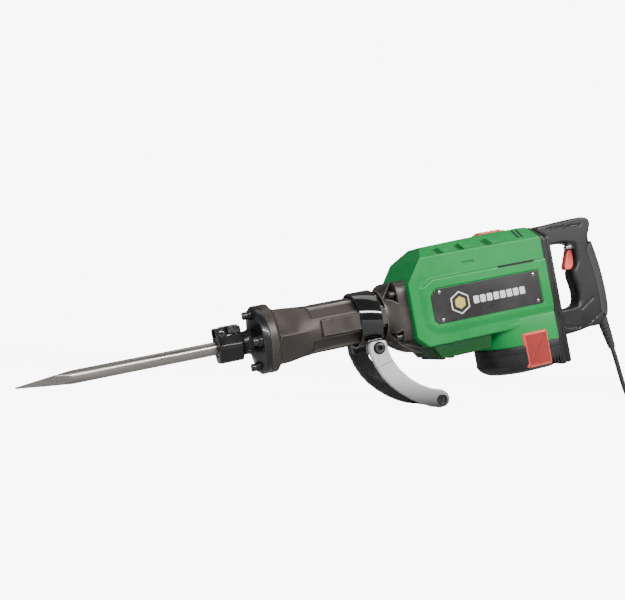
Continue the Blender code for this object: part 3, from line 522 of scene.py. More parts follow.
def plate(outline: np.ndarray, low: float, high: float, edge: float, axis: str = "Y", steps: int = 3,
          bevel: bool = False) -> Surface:
    """A plate of that outline with rounded or bevelled rims.

    The rim's inset goes as edge (1 - sin a) and its depth as edge (1 - cos a), for a from 0 to a right
    angle; a bevel is the straight line between its ends.

    Args:
        outline: (points, 2).
        low: one face.
        high: the other face.
        edge: rim radius.
        axis: the plate's normal.
        steps: points on each rim.
        bevel: a flat bevel in place of a round rim.

    Returns:
        The closed surface.
    """
    if bevel:
        rim = [(edge, 0.0), (edge * 0.93, 0.02), (0.05, edge * 0.95), (0.0, edge)]
    else:
        turn = np.linspace(0, np.pi / 2, steps + 1)
        rim = [(edge * (1 - math.sin(a)), edge * (1 - math.cos(a))) for a in turn]
    rows = [(edge + 0.3, low)]
    rows += [(i, low + d) for i, d in rim]
    rows += [(i, high - d) for i, d in rim[::-1]]
    rows += [(edge + 0.3, high)]
    grid = []
    for amount, place in rows:
        ring = inset(outline, amount)
        grid.append(axis_points(np.full(len(ring), place), ring[:, 0], ring[:, 1], axis))
    return round_grid(np.stack(grid))


def box(x: tuple[float, float], y: tuple[float, float], z: tuple[float, float], edge: float = 1.0,
        corner: float = 1.5, axis: str = "Y", bevel: bool = False) -> Surface:
    """A block with rounded rims and corners.

    Args:
        x: its two ends along X.
        y: its two ends along Y.
        z: its two ends along Z.
        edge: rim radius.
        corner: corner radius, at least the rim's.
        axis: the axis that the rims go round.
        bevel: flat bevels in place of round rims.

    Returns:
        The closed surface.
    """
    spans = {"X": (y, z, x), "Y": (x, z, y), "Z": (x, y, z)}[axis]
    (a0, a1), (b0, b1), (low, high) = spans
    outline = rounded_outline([(a0, b0), (a1, b0), (a1, b1), (a0, b1)], max(corner, edge + 0.5), 4)
    return plate(outline, low, high, edge, axis, bevel=bevel)


def tube(path: np.ndarray, radius: np.ndarray, steps: int = 14) -> Surface:
    """A round tube along a path: at each point a circle across the path's direction.

    Args:
        path: (points, 3).
        radius: one radius for each point.
        steps: points round the tube.

    Returns:
        The closed surface.
    """
    ahead = np.gradient(path, axis=0)
    ahead /= np.linalg.norm(ahead, axis=1, keepdims=True)
    side = np.cross(ahead, np.array([0.0, 0.0, 1.0]))
    weak = np.linalg.norm(side, axis=1) < 0.2
    side[weak] = np.cross(ahead[weak], np.array([0.0, 1.0, 0.0]))
    side /= np.linalg.norm(side, axis=1, keepdims=True)
    over = np.cross(side, ahead)
    angle = np.linspace(0, 2 * np.pi, steps, endpoint=False)
    circle = side[:, None] * np.cos(angle)[None, :, None] + over[:, None] * np.sin(angle)[None, :, None]
    return round_grid(path[:, None] + circle * np.asarray(radius)[:, None, None])


def cap_screw(axis: str, centre: tuple[float, float, float], head: float, tail: float, radius: float,
              shank: float) -> Surface:
    """A socket-head screw: a turned head with a six-sided socket, and its shank.

    Args:
        axis: its axis.
        centre: a point on the axis; the coordinate along the axis is ignored.
        head: where the head's outer face is.
        tail: where the shank ends.
        radius: head radius.
        shank: shank radius.

    Returns:
        The closed surface.
    """
    sign = math.copysign(1.0, tail - head)
    steps = 36
    angle = np.linspace(0, 2 * np.pi, steps, endpoint=False)
    hexagon = flats(angle, radius * 0.46, 6, 0.0, radius)
    plain = np.ones(steps)
    depth = radius * 1.3
    rows = [(head + sign * radius * 0.85, plain * 1e-4), (head + sign * radius * 0.85, hexagon * 0.97),
            (head + sign * 0.3, hexagon), (head, hexagon + 0.35), (head, plain * radius * 0.84),
            (head + sign * radius * 0.05, plain * radius * 0.93),
            (head + sign * radius * 0.18, plain * radius),
            (head + sign * depth, plain * radius), (head + sign * (depth + 0.1), plain * (radius - 0.1)),
            (head + sign * (depth + 0.1), plain * shank), (tail - sign * 0.5, plain * shank),
            (tail, plain * (shank - 0.5)), (tail, plain * 1e-4)]
    along = np.array([a for a, _ in rows])[:, None]
    radii = np.stack([r for _, r in rows])
    grid = axis_points(along, radii * np.cos(angle), radii * np.sin(angle), axis)
    shift = np.array(centre, float)
    shift["XYZ".index(axis)] = 0.0
    return round_grid(grid + shift)


# ---------------------------------------------------------------------------------------------
# Placing
# ---------------------------------------------------------------------------------------------


class ToolFrame:
    """Where the tool frame lies in the row frame, read from the side handle's hinge."""

    HINGE_X = 90.0

    def __init__(self) -> None:
        """Reads the hinge."""
        hinge = next(j for j in frame["joints"] if j["name"] == "handle_swing")
        along = np.array(hinge["axis"], float)
        along /= np.linalg.norm(along)
        self.axes = np.stack([along, (0.0, 1.0, 0.0), np.cross(along, (0.0, 1.0, 0.0))])
        self.origin = np.array(hinge["pos_m"], float) - along * self.HINGE_X * MM

    def world(self, points: np.ndarray) -> np.ndarray:
        """Row-frame points, in metres, of tool-frame points in millimetres.

        Args:
            points: (..., 3) in the tool frame.

        Returns:
            The same points in the row frame.
        """
        return self.origin + (np.asarray(points, float) * MM) @ self.axes


class Workshop:
    """Turns surfaces into finished pieces that ride on the frame's bodies."""

    SHARP = math.radians(38.0)

    def __init__(self) -> None:
        """Finds the tool frame."""
        self.tool = ToolFrame()

    def add(self, name: str, surface: Surface, finish: Finish, body: str, *nodes: str,
            in_tool: bool = True, sharp: float | None = None) -> bpy.types.Object:
        """Makes one piece: closed mesh, outward faces, edge and painted-shade maps, finish and body.

        Args:
            name: the piece's name.
            surface: its shape.
            finish: its finish.
            body: the body that it rides on.
            nodes: the nodes that it stands for.
            in_tool: False where the surface is already in the row frame, in metres.
            sharp: angle past which an edge is drawn sharp.

        Returns:
            The piece.
        """
        points = self.tool.world(surface.points) if in_tool else surface.points
        mesh = bpy.data.meshes.new(name)
        mesh.from_pydata(points.tolist(), [], surface.faces)
        work = bmesh.new()
        work.from_mesh(mesh)
        bmesh.ops.remove_doubles(work, verts=work.verts, dist=2e-6)
        bmesh.ops.recalc_face_normals(work, faces=work.faces)
        work.to_mesh(mesh)
        work.free()
        self.map_edges(mesh)
        mesh.polygons.foreach_set("use_smooth", np.ones(len(mesh.polygons), bool))
        mesh.set_sharp_from_angle(angle=self.SHARP if sharp is None else sharp)
        mesh.materials.append(finish.material())
        piece = bpy.data.objects.new(name, mesh)
        bpy.context.scene.collection.objects.link(piece)
        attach(piece, body)
        if nodes:
            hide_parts(*nodes)
        LOG.info("%s: %d faces, rides on %s", name, len(mesh.polygons), body)
        return piece

    @staticmethod
    def map_edges(mesh: bpy.types.Mesh) -> None:
        """Writes to each point how sharply the surface bends there: `edge` outward, and `hollow` inward, which
        marks where shade is painted.

        The bend of an edge is the angle between its two faces over the distance between their
        middles, in turns to the millimetre; a point keeps the largest of its edges.

        Args:
            mesh: the mesh, with its final points.
        """
        faces = len(mesh.polygons)
        normal = np.empty(faces * 3, np.float32)
        mesh.polygons.foreach_get("normal", normal)
        normal = normal.reshape(-1, 3)
        middle = np.empty(faces * 3, np.float32)
        mesh.polygons.foreach_get("center", middle)
        middle = middle.reshape(-1, 3)
        size = np.empty(faces, np.int32)
        mesh.polygons.foreach_get("loop_total", size)
        owner = np.repeat(np.arange(faces), size)
        edge_of = np.empty(len(mesh.loops), np.int32)
        mesh.loops.foreach_get("edge_index", edge_of)
        order = np.argsort(edge_of, kind="stable")
        pairs_edge = edge_of[order]
        same = pairs_edge[1:] == pairs_edge[:-1]
        first = owner[order][:-1][same]
        second = owner[order][1:][same]
        edges = pairs_edge[1:][same]
        ends = np.empty(len(mesh.edges) * 2, np.int32)
        mesh.edges.foreach_get("vertices", ends)
        ends = ends.reshape(-1, 2)[edges]
        points = np.empty(len(mesh.vertices) * 3, np.float32)
        mesh.vertices.foreach_get("co", points)
        points = points.reshape(-1, 3)
        line = points[ends[:, 1]] - points[ends[:, 0]]
        line /= np.maximum(np.linalg.norm(line, axis=1, keepdims=True), 1e-9)
        across = middle[second] - middle[first]
        outward = (across * normal[first]).sum(1) < 0
        across = across - line * (across * line).sum(1, keepdims=True)
        gap = np.clip(np.linalg.norm(across, axis=1) / MM, 0.4, 4.0)
        cosine = np.clip((normal[first] * normal[second]).sum(1), -1, 1)
        bend = np.clip(np.arccos(cosine) / gap, 0, 1.2)
        # The inward bend is the mask where the finishes paint shade.
        for title, chosen in (("edge", outward), ("hollow", ~outward)):
            value = np.zeros(len(mesh.vertices), np.float32)
            for column in (0, 1):
                np.maximum.at(value, ends[chosen, column], bend[chosen])
            mesh.attributes.new(title, "FLOAT", "POINT").data.foreach_set("value", value)


# ---------------------------------------------------------------------------------------------
# Sub-assemblies
# ---------------------------------------------------------------------------------------------


@dataclass
class Chisel:
    """Bull-point chisel: ground square point, round body and six-sided shank."""

    tip: float = -478.0
    end: float = -64.0
    nose: float = -167.0
    radius: float = 10.8
    shank: float = 14.0

    def build(self, shop: Workshop) -> None:
        """Makes the chisel.

        The radius is the least of the body's radius and the pyramid's apothem over the cosine of the
        angle off its face, where the apothem grows evenly from the tip.

        Args:
            shop: the workshop.
        """
        angle = np.linspace(0, 2 * np.pi, 96, endpoint=False)
        x = np.concatenate([[self.tip, self.tip + 0.5, self.tip + 2],
                            np.linspace(self.tip + 4, self.tip + 92, 60),
                            np.linspace(self.tip + 96, self.nose - 4, 30)])
        apothem = 1.3 + 0.114 * np.maximum(x - self.tip - 1, 0)
        apothem[:3] = (0.9, 1.2, 1.5)
        off = (angle + np.pi / 4) % (np.pi / 2) - np.pi / 4
        radius = np.minimum(apothem[:, None] / np.cos(off)[None], self.radius)
        collar = [(self.nose - 2.5, self.radius), (self.nose + 0.5, self.radius)]
        body = np.stack([np.full(96, r) for _, r in collar])
        hexagon = flats(angle, self.shank, 6, np.pi / 6, 15.6)
        end = np.stack([hexagon * 0.9, hexagon, hexagon, hexagon * 0.88])
        end_x = [self.nose + 1.0, self.nose + 3.0, self.end - 2, self.end]
        grid = polar_rows(np.concatenate([x, [c[0] for c in collar], end_x]),
                          np.concatenate([radius, body, end]), angle)
        shop.add("chisel_bull_point", round_grid(grid), STEEL, "chisel", "chisel")


@dataclass
class Nose:
    """Black cast front cover with its hexagonal nose, bolts and swinging tool retainer."""

    front: float = -167.0
    flange_front: float = -100.0
    flange_rear: float = -88.3
    apothem: float = 26.0
    neck: float = 19.5
    bolt_circle: float = 43.0
    slot_floor: float = 16.8
    pin: tuple[float, float] = (-159.0, 22.0)

    def build(self, shop: Workshop) -> None:
        """Makes the cover, its four bolts, the lever and its pin.

        Args:
            shop: the workshop.
        """
        parts = [self.cover()] + self.ears() + self.bosses()
        shop.add("nose_casting", parts[0].joined(*parts[1:]), CAST, "body", "front_cover")
        for k, (y, z) in enumerate(self.bolt_places()):
            screw = cap_screw("X", (0, y, z), self.flange_front - 15.5, -78.0, 6.6, 5.0)
            shop.add(f"nose_screw_{k + 1}", screw, SCREW, "body", f"front_bolt_{k + 1}")
        self.retainer(shop)

    def bolt_places(self) -> list[tuple[float, float]]:
        """Centres (y, z) of the bolts: top, left, bottom and right."""
        return [(0, self.bolt_circle), (-self.bolt_circle, 0), (0, -self.bolt_circle), (self.bolt_circle, 0)]

    def cover(self) -> Surface:
        """The turned and hexagonal body with its hexagonal bore.

        The flare's radius is the neck's plus a power of the distance past the neck's end. The nose is
        the hexagon cut flat under the retainer.

        Returns:
            A closed surface, bored right through.
        """
        angle = np.linspace(0, 2 * np.pi, 144, endpoint=False)
        turn = np.pi / 6
        bore = flats(angle, 14.35, 6, turn, 16.1)

        def hexagon(apothem: float, limit: float) -> np.ndarray:
            """Radius at each angle of a six-sided section that is cut flat at the slot's floor.

            Args:
                apothem: from the middle to the flats.
                limit: radius at which the corners are turned off.

            Returns:
                One radius for each angle.
            """
            cut = self.slot_floor / np.maximum(np.sin(angle), 1e-3)
            return np.where(np.sin(angle) > 0.05, np.minimum(flats(angle, apothem, 6, turn, limit), cut),
                            flats(angle, apothem, 6, turn, limit))

        rows = [(self.front + 2, bore), (self.front, bore + 1.6), (self.front, hexagon(23.8, 26.4)),
                (self.front + 0.6, hexagon(25.2, 27.6)), (self.front + 2.0, hexagon(26, 28.6)),
                (self.front + 20, hexagon(26, 28.6)), (self.front + 38, hexagon(26, 28.6)),
                (self.front + 39.8, hexagon(25, 27.3)), (self.front + 40.6, hexagon(23.5, 25.4))]
        round_to = np.ones(144)
        rows += [(self.front + 41.2, round_to * 20.4), (self.front + 42.5, round_to * self.neck)]
        for step in np.linspace(0, 1, 16):
            x = -118 + 16.6 * step
            rows.append((x, round_to * (self.neck + 31.0 * step ** 2.7)))
        rows += [(-101.1, round_to * 52.5), (-100.6, round_to * 55.4), (-99.6, round_to * 56.6),
                 (-98.2, round_to * 57.0), (-90.2, round_to * 57.0), (-88.9, round_to * 56.6),
                 (self.flange_rear, round_to * 55.6), (self.flange_rear, bore)]
        x = np.array([r[0] for r in rows])
        return round_grid(polar_rows(x, np.stack([r[1] for r in rows]), angle), closed_rows=True)

    def ears(self) -> list[Surface]:
        """Two ears that carry the retainer's pin, with a round boss and a raised front lip each."""
        x, z = self.pin
        outline = rounded_outline([(x - 7, 4), (x - 7, 24), (x - 4.5, 29.5), (x + 4, 29.5), (x + 8, 24),
                                   (x + 10, 14), (x + 10, 4)], 2.6)
        lip = rounded_outline([(x - 8, 10), (x - 8, 30), (x - 5.5, 32.5), (x + 1, 32.5), (x + 1, 10)], 2.2)
        made = []
        for side in (-1, 1):
            inner, outer = sorted((side * 14.4, side * 22.0))
            made.append(plate(outline, inner, outer, 1.4))
            inner, outer = sorted((side * 14.4, side * 19.5))
            made.append(plate(lip, inner, outer, 1.2))
            made.append(revolved([(side * 18, 0), (side * 18, 7.6), (side * 22.4, 7.6), (side * 23, 7.0),
                                  (side * 23, 0)], "Y", (x, 0, z), 32))
        return made

    def bosses(self) -> list[Surface]:
        """Bolt bosses on the flange and four slanting webs between them."""
        made = []
        for y, z in self.bolt_places():
            made.append(revolved([(-97, 0), (-97, 9.6), (-104.5, 9.0), (-106.4, 8.2), (-106.8, 7.4),
                                  (-106.8, 0)],
                                 "X", (0, y, z), 32))
        web = rounded_outline([(-119, 16), (-119, 20), (-107, 25), (-103, 44), (-99, 50), (-97, 50),
                               (-97, 16)],
                              0.9, 3)
        for k in range(4):
            turn = math.pi / 4 + k * math.pi / 2
            flat = plate(web, -2.4, 2.4, 0.7)
            p = flat.points
            made.append(Surface(np.stack([p[:, 0], p[:, 2] * math.cos(turn) - p[:, 1] * math.sin(turn),
                                          p[:, 2] * math.sin(turn) + p[:, 1] * math.cos(turn)], 1),
                                          flat.faces))
        return made

    def retainer(self, shop: Workshop) -> None:
        """Makes the lever, with its wide thumb block, and the pin.

        Args:
            shop: the workshop.
        """
        x, z = self.pin
        arm = rounded_outline([(x - 4.4, z - 4), (x - 4.4, z + 5), (x + 4, z + 11.3), (x + 29, z + 11.3),
                               (x + 33.5, z + 7), (x + 33.5, z - 2), (x + 30, z - 4.6)], 2.2)
        block = rounded_outline([(x + 11, z - 3), (x + 11, z + 10.8), (x + 28, z + 10.8), (x + 33, z + 6.5),
                                 (x + 33, z - 3)], 2.4)
        side = plate(block, -21.5, 21.5, 2.0)
        lever = plate(arm, -13.6, 13.6, 1.6).joined(side)
        shop.add("retainer_lever", lever, CAST, "retainer", "tool_retainer")
        end = 23.3
        profile = [(-end - 2.6, 0), (-end - 2.6, 3.6), (-end - 2.0, 4.9), (-end - 0.2, 5.4), (-end, 5.0),
                   (-end, 3.0), (end, 3.0), (end + 1, 2.4), (end + 1, 0)]
        nodes = frame["record"]["behaviour"]["bodies"]
        body = next(b for b, members in nodes.items() if "retainer_pin" in members)
        shop.add("retainer_cross_pin", revolved(profile, "Y", (x, 0, z), 32), SCREW, body, "retainer_pin")


@dataclass
class Barrel:
    """Cylinder case: bolted flange, six-sided shoulder that runs out into a round fluted barrel."""

    front: float = -88.0
    end: float = 119.0
    radius: float = 42.0
    corner: float = 52.0

    def build(self, shop: Workshop) -> None:
        """Makes the case.

        The outside radius goes from a clipped hexagon at the flange to a circle 66 mm on, less four
        scooped flutes, plus a raised panel on each side; the bore is a circle.

        Args:
            shop: the workshop.
        """
        angle = np.linspace(0, 2 * np.pi, 180, endpoint=False)
        x = np.concatenate([np.linspace(self.front + 20, 4, 62), np.linspace(5, self.end - 1.4, 62)])
        hexagon = flats(angle, 45.2, 6, np.pi / 2, self.corner)[None]
        share = smooth((x + 64) / 70.0)[:, None]
        base = hexagon * (1 - share) + (self.radius - 1.2) * share
        for centre, start in ((np.pi / 4, -14.0), (3 * np.pi / 4, -14.0), (-np.pi / 4, -16.0),
                              (-3 * np.pi / 4, -16.0)):
            off = (angle - centre + np.pi) % (2 * np.pi) - np.pi
            reach = smooth((x - start) / 7.0)[:, None]
            shape = np.clip(1 - (off / 0.34) ** 2, 0, 1)[None]
            base = base - 5.6 * reach * np.sqrt(shape) * smooth(shape * 2.6)
        for centre in (0.0, np.pi):
            off = np.abs((angle - centre + np.pi) % (2 * np.pi) - np.pi)
            face = 45.2 / np.cos(np.clip(off, 0, 0.5))
            inside = smooth((0.325 - off) / 0.035)[None] * smooth((x - 2.5) / 1.6)[:, None]
            base = base * (1 - inside) + face[None] * inside
        top = np.abs((angle - np.pi / 2 + np.pi) % (2 * np.pi) - np.pi)
        base = base + 0.8 * smooth((0.2 - top) / 0.05)[None] * smooth((x + 4) / 5)[:, None]
        flange = [(self.front, 55.4), (self.front, 56.4), (self.front + 1.0, 57.0), (self.front + 11.5, 57.0),
                  (self.front + 13.2, 56.0), (self.front + 16.0, 51.5), (self.front + 17.6, 50.6)]
        rows_x = np.concatenate([[f[0] for f in flange], [self.front + 18.4], x,
                                 [self.end - 0.5, self.end, self.end,
                                                                               self.front]])
        rows_r = np.concatenate([np.stack([np.full(180, f[1]) for f in flange]), base[:1] * 1.005, base,
                                 base[-1:] - 0.6, base[-1:] - 1.6, np.full((1, 180), 33.0),
                                 np.full((1, 180), 20.3)])
        shop.add("cylinder_casting", round_grid(polar_rows(rows_x, rows_r, angle), closed_rows=True), CASTING,
                 "body", "cylinder_case", sharp=math.radians(24))


@dataclass
class CrankCase:
    """Grey gear casting between the barrel and the green housing."""

    front: float = 119.3
    step: float = 142.0
    end: float = 285.0

    def build(self, shop: Workshop) -> None:
        """Makes the case with its four bolt pockets and the cooling fins underneath.

        A section is a superellipse, from round at the barrel to nearly square past the pockets. Each
        pocket is a wedge cut back to the bolt, widening to the rear.

        Args:
            shop: the workshop.
        """
        angle = np.linspace(0, 2 * np.pi, 240, endpoint=False)
        x = np.concatenate([[self.front, self.front + 0.4], np.linspace(self.front + 1.4, self.step, 40),
                            np.linspace(self.step + 0.8, 164, 16), [200, self.end - 1, self.end]])
        share = smooth((x - self.front) / 26.0)
        half = 44.5 + 6.0 * share
        high = 44.5 + 9.6 * share
        power = 2.0 + 3.6 * smooth((x - self.front - 2) / 24.0)
        c, s = np.abs(np.cos(angle))[None], np.abs(np.sin(angle))[None]
        radius = ((c / half[:, None]) ** power[:, None]
                  + (s / high[:, None]) ** power[:, None]) ** (-1 / power[:, None])
        radius[0] -= 1.2
        radius[-1] -= 1.0
        upper, lower = math.atan2(34, 41), math.atan2(-41, 41)
        for centre, spread in ((upper, 0.40), (np.pi - upper, 0.40), (lower, 0.27), (np.pi - lower, 0.27)):
            off = np.abs((angle - centre + np.pi) % (2 * np.pi) - np.pi)[None]
            open_share = np.clip((x - self.front - 0.5) / (self.step - self.front), 0, 1)[:, None]
            depth = (smooth((spread * open_share - off) / 0.05) * (x < self.step)[:, None]
                     * (x > self.front + 1)[:, None])
            radius = radius * (1 - depth) + np.minimum(radius, 43.0) * depth
        shell = round_grid(polar_rows(x, radius, angle))
        fins = []
        for k in range(6):
            y = -32 + k * 12.8
            outline = rounded_outline([(134, -44), (137, -53.5), (158, -67.5), (173, -74.5), (177, -74.5),
                                       (177, -44)],
                                      1.4, 3)
            fins.append(plate(outline, y - 1.8, y + 1.8, 0.8))
        floor = rounded_outline([(134, -42), (138, -51), (178, -69), (178, -42)], 1.5, 3)
        fins.append(plate(floor, -34, 34, 1.0))
        shop.add("gear_casting", shell.joined(*fins), CASTING, "body", "crank_case", sharp=math.radians(30))
        places = [(-41, 33), (41, 33), (-41, -40), (41, -40)]
        for k, (y, z) in enumerate(places):
            screw = cap_screw("X", (0, y, z), self.step - 11.5, self.step + 1.0, 5.6, 4.4)
            shop.add(f"case_screw_{k + 1}", screw, SCREW, "body", f"case_bolt_{k + 1}")


@dataclass
class MotorHousing:
    """Green motor housing with its raised nameplate panel, shoulder windows, belly and drum."""

    front: float = 160.0
    rear: float = 430.0
    half: float = 61.5
    pad: float = 3.8
    sill: float = -66.0
    shoulder: float = 85.0
    roof_half: float = 23.0
    motor: float = 366.0
    drum: float = 62.4
    drum_floor: float = -98.0
    windows: tuple[tuple[float, float], ...] = ((227, 239), (268, 280), (321, 335))

    def build(self, shop: Workshop) -> None:
        """Makes the shell, the plate on it and the inserts.

        Args:
            shop: the workshop.
        """
        shop.add("motor_shell", self.shell().joined(self.drum_body()), GREEN, "body", "motor_housing",
                 sharp=math.radians(28))
        # The belly takes the shaded green: painted shade under the sill.
        belly = rounded_outline([(182, -60), (203.5, -90.6), (299, -91.2), (303, -60)], 3.5)
        shop.add("shell_belly", self.leaning(plate(belly, -57.5, 57.5, 2.4)), SHADED_GREEN, "body")
        feet = box((206, 214), (-40, 40), (-94, -89), 0.8).joined(
            box((222, 232), (-40, 40), (-94, -89), 0.8), box((238, 292), (-30, 30), (-93.4, -89), 0.8))
        shop.add("belly_pads", feet, RUBBER, "body")
        self.inserts(shop)

    @staticmethod
    def leaning(surface: Surface) -> Surface:
        """Leans the side walls inward towards the bottom, by 0.22 mm for each millimetre down.

        Args:
            surface: the shape.

        Returns:
            The leaned shape.
        """
        p = surface.points.copy()
        share = np.clip((-62 - p[:, 2]) * 0.22, 0, 8)
        p[:, 1] -= np.sign(p[:, 1]) * np.minimum(share, np.abs(p[:, 1]))
        return Surface(p, surface.faces)

    def relief(self, x: np.ndarray, z: np.ndarray) -> np.ndarray:
        """How far the side stands out: a bevelled raised panel with a seat for the plate, and a groove.

        The panel's height is the pad height times the clipped distance inside its outline over the
        bevel's width; the bevel is wide in front and underneath and narrow on top.

        Args:
            x: places along the tool.
            z: heights.

        Returns:
            The height at each place, in millimetres.
        """
        left = (x - 178.0) / 8.5
        below = (z + 47.5) / 9.5
        above = (47.6 - z) / 3.2
        low_corner = ((x - 178.0) * 0.72 + (z + 30.0) * 0.70) / 8.5
        high_corner = ((x - 178.0) * 0.50 + (34.0 - z) * 0.86) / 4.5
        height = np.clip(np.minimum.reduce([left, below, above, low_corner, high_corner]), 0, 1) * self.pad
        seat = np.minimum.reduce([x - 194.6, 412.0 - x, z + 32.6, 30.2 - z,
                                  (x - 194.6) * 0.66 + (29.0 - z) * 0.75 - 7.0,
                                  (x - 194.6) * 0.66 + (z + 32.6) * 0.75 - 5.0])
        height = height - 1.9 * np.clip(seat / 1.2, 0, 1)
        bar = np.maximum(np.abs(x - 278.5) - 11.5, np.abs(z - 64.6) - 0.9)
        drop = np.maximum(np.abs(x - 289.2) - 0.9, np.abs(z - 63.0) - 2.4)
        height = height - 1.3 * np.clip(1 - np.minimum(bar, drop) / 0.9, 0, 1)
        sill = np.clip((-56.0 - z) / 10.0, 0, 1) * np.clip((x - 325) / 20, 0, 1)
        return height + sill * 0.9

    def windows_cut(self, x: np.ndarray, down: np.ndarray) -> np.ndarray:
        """How deep the shoulder is cut: three clip windows, each with a shallow ramp behind it.

        Args:
            x: places along the tool.
            down: distance along the slope from its lower edge, as a share of it.

        Returns:
            The depth at each place, in millimetres.
        """
        depth = np.zeros_like(x)
        for start, end in self.windows:
            across = np.minimum(x - start, end - x)
            up = np.minimum(down - 0.05, 0.74 - down) * 42
            depth = np.maximum(depth, 4.6 * np.clip(np.minimum(across, up) / 1.1, 0, 1))
            ramp = np.minimum.reduce([(x - end - 1.5) / 3.0, (end + 19 - x) / 12.0,
                                      (0.36 - down) * 9.0, (down - 0.10) * 14.0])
            depth = np.maximum(depth, 1.3 * np.clip(ramp, 0, 1))
        return depth

    def shell(self) -> Surface:
        """The main shell: sections across the tool, with their corners rounded, carried along it."""
        x = np.concatenate([[self.front, self.front + 0.5, self.front + 1.5, self.front + 3.0],
                            np.linspace(self.front + 4.5, self.rear - 1.5, 186),
                            [self.rear - 0.6, self.rear]])
        roof = np.interp(x, [self.front, 187, 211, 300, 410, self.rear], [44, 82, 104, 107, 109, 108])
        floor = np.interp(x, [self.front, 180], [-48, self.sill])
        tuck = np.interp(x, [self.front, self.front + 0.5, self.front + 1.5, self.front + 3,
                             self.rear - 1.5, self.rear],
                         [3.0, 1.7, 0.6, 0.0, 0.0, 1.0])
        half = self.half - tuck
        low_edge = np.minimum(roof, self.shoulder)
        slope = (self.half - self.roof_half) / 19.0
        top_half = np.clip(self.half - np.maximum(roof - self.shoulder, 0) * slope, self.roof_half,
                           None) - tuck
        corners = np.stack([
            np.stack([-half, floor + tuck], 1), np.stack([-half, low_edge - tuck * 0.4], 1),
            np.stack([-top_half, roof - tuck * 0.4], 1), np.stack([top_half, roof - tuck * 0.4], 1),
            np.stack([half, low_edge - tuck * 0.4], 1), np.stack([half, floor + tuck], 1)], 1)
        radius = np.tile(np.array([3.2, 2.2, 3.5, 3.5, 2.2, 3.2]), (len(x), 1))
        bend = 6
        straight = [104, 26, 14, 26, 104, 10]
        rings = rounded_rings(corners, radius, bend, straight)
        grid = np.concatenate([np.broadcast_to(x[:, None, None], (*rings.shape[:2], 1)), rings], 2).copy()
        starts = np.cumsum([0] + [bend + n for n in straight])[:-1]
        for corner in (0, 4):
            span = slice(starts[corner] + bend, starts[corner] + bend + straight[corner])
            place = grid[:, span]
            out = self.relief(place[..., 0], place[..., 2])
            place[..., 1] += np.sign(place[..., 1]) * out
        lean = np.array([19.0, self.half - self.roof_half])
        lean /= np.linalg.norm(lean)
        for corner, flip in ((1, False), (3, True)):
            span = slice(starts[corner] + bend, starts[corner] + bend + straight[corner])
            place = grid[:, span]
            share = (np.arange(straight[corner]) + 1) / (straight[corner] + 1)
            share = share[::-1] if flip else share
            flat = (roof > 103)[:, None]
            depth = self.windows_cut(place[..., 0], np.broadcast_to(share[None], place.shape[:2])) * flat
            place[..., 1] -= np.sign(place[..., 1]) * depth * lean[0]
            place[..., 2] -= depth * lean[1]
        return round_grid(grid)

    def drum_body(self) -> Surface:
        """The motor drum: round in front and straight to the rear, from above the sill to its floor."""
        turn = np.linspace(np.pi / 2, 3 * np.pi / 2, 49)
        arc = np.stack([self.motor + self.drum * np.cos(turn), self.drum * np.sin(turn)], 1)
        back = np.array([[self.rear - 0.6, -self.half - 0.9], [self.rear - 0.6, self.half + 0.9]])
        return plate(np.concatenate([arc, back]), self.drum_floor, -50.0, 1.4, "Z")

    def inserts(self, shop: Workshop) -> None:
        """Makes the plate with its screws and print, the slots in painted shadow, the shoulder parts and the roof
        vent.

        Args:
            shop: the workshop.
        """
        face = self.half + self.pad
        outline = rounded_outline([(206, 28), (409.5, 28), (409.5, -31), (203, -31), (196, -25),
                                   (196, 18)], 1.6, 4)
        for side, name in ((-1, "left"), (1, "right")):
            lo, hi = sorted((side * (face - 1.9), side * (face - 0.2)))
            node = ("nameplate",) if side < 0 else ()
            shop.add(f"name_plate_{name}", plate(outline, lo, hi, 0.5), PLATE, "body", *node)
            self.print_marks(shop, side, name, face)
            # Dark plate of painted shadow in the panel's slot.
            slot = rounded_outline([(333.5, 43.6), (333.5, 47.4), (405.5, 47.4), (405.5, 43.6)], 0.7, 3)
            lo, hi = sorted((side * (self.half - 1), side * (face + 0.12)))
            shop.add(f"panel_slot_{name}", plate(slot, lo, hi, 0.2), VOID, "body")
        self.shoulder_parts(shop)
        bumps = [box((338, 390), (-14, 14), (105, 110.9), 1.2)]
        bumps += [box((342 + k * 12, 348 + k * 12), (-11.5, 11.5), (109, 113.2), 1.0) for k in range(4)]
        shop.add("roof_vent_insert", bumps[0].joined(*bumps[1:]), RED, "body", "roof_vent")

    def print_marks(self, shop: Workshop, side: int, name: str, face: float) -> None:
        """Makes a plain six-sided mark, a row of plain bars and four screws on the plate.

        Args:
            shop: the workshop.
            side: -1 for the left and 1 for the right.
            name: side name.
            face: distance of the panel from the middle.
        """
        lo, hi = sorted((side * (face - 0.6), side * (face - 0.05)))
        turn = np.linspace(0, 2 * np.pi, 6, endpoint=False) + np.pi / 2

        def hexagon(size: float) -> np.ndarray:
            """Corners (x, z) of a six-sided mark of that size from its middle to its corners."""
            return np.stack([248 + size * np.cos(turn), -2 + size * np.sin(turn)], 1)

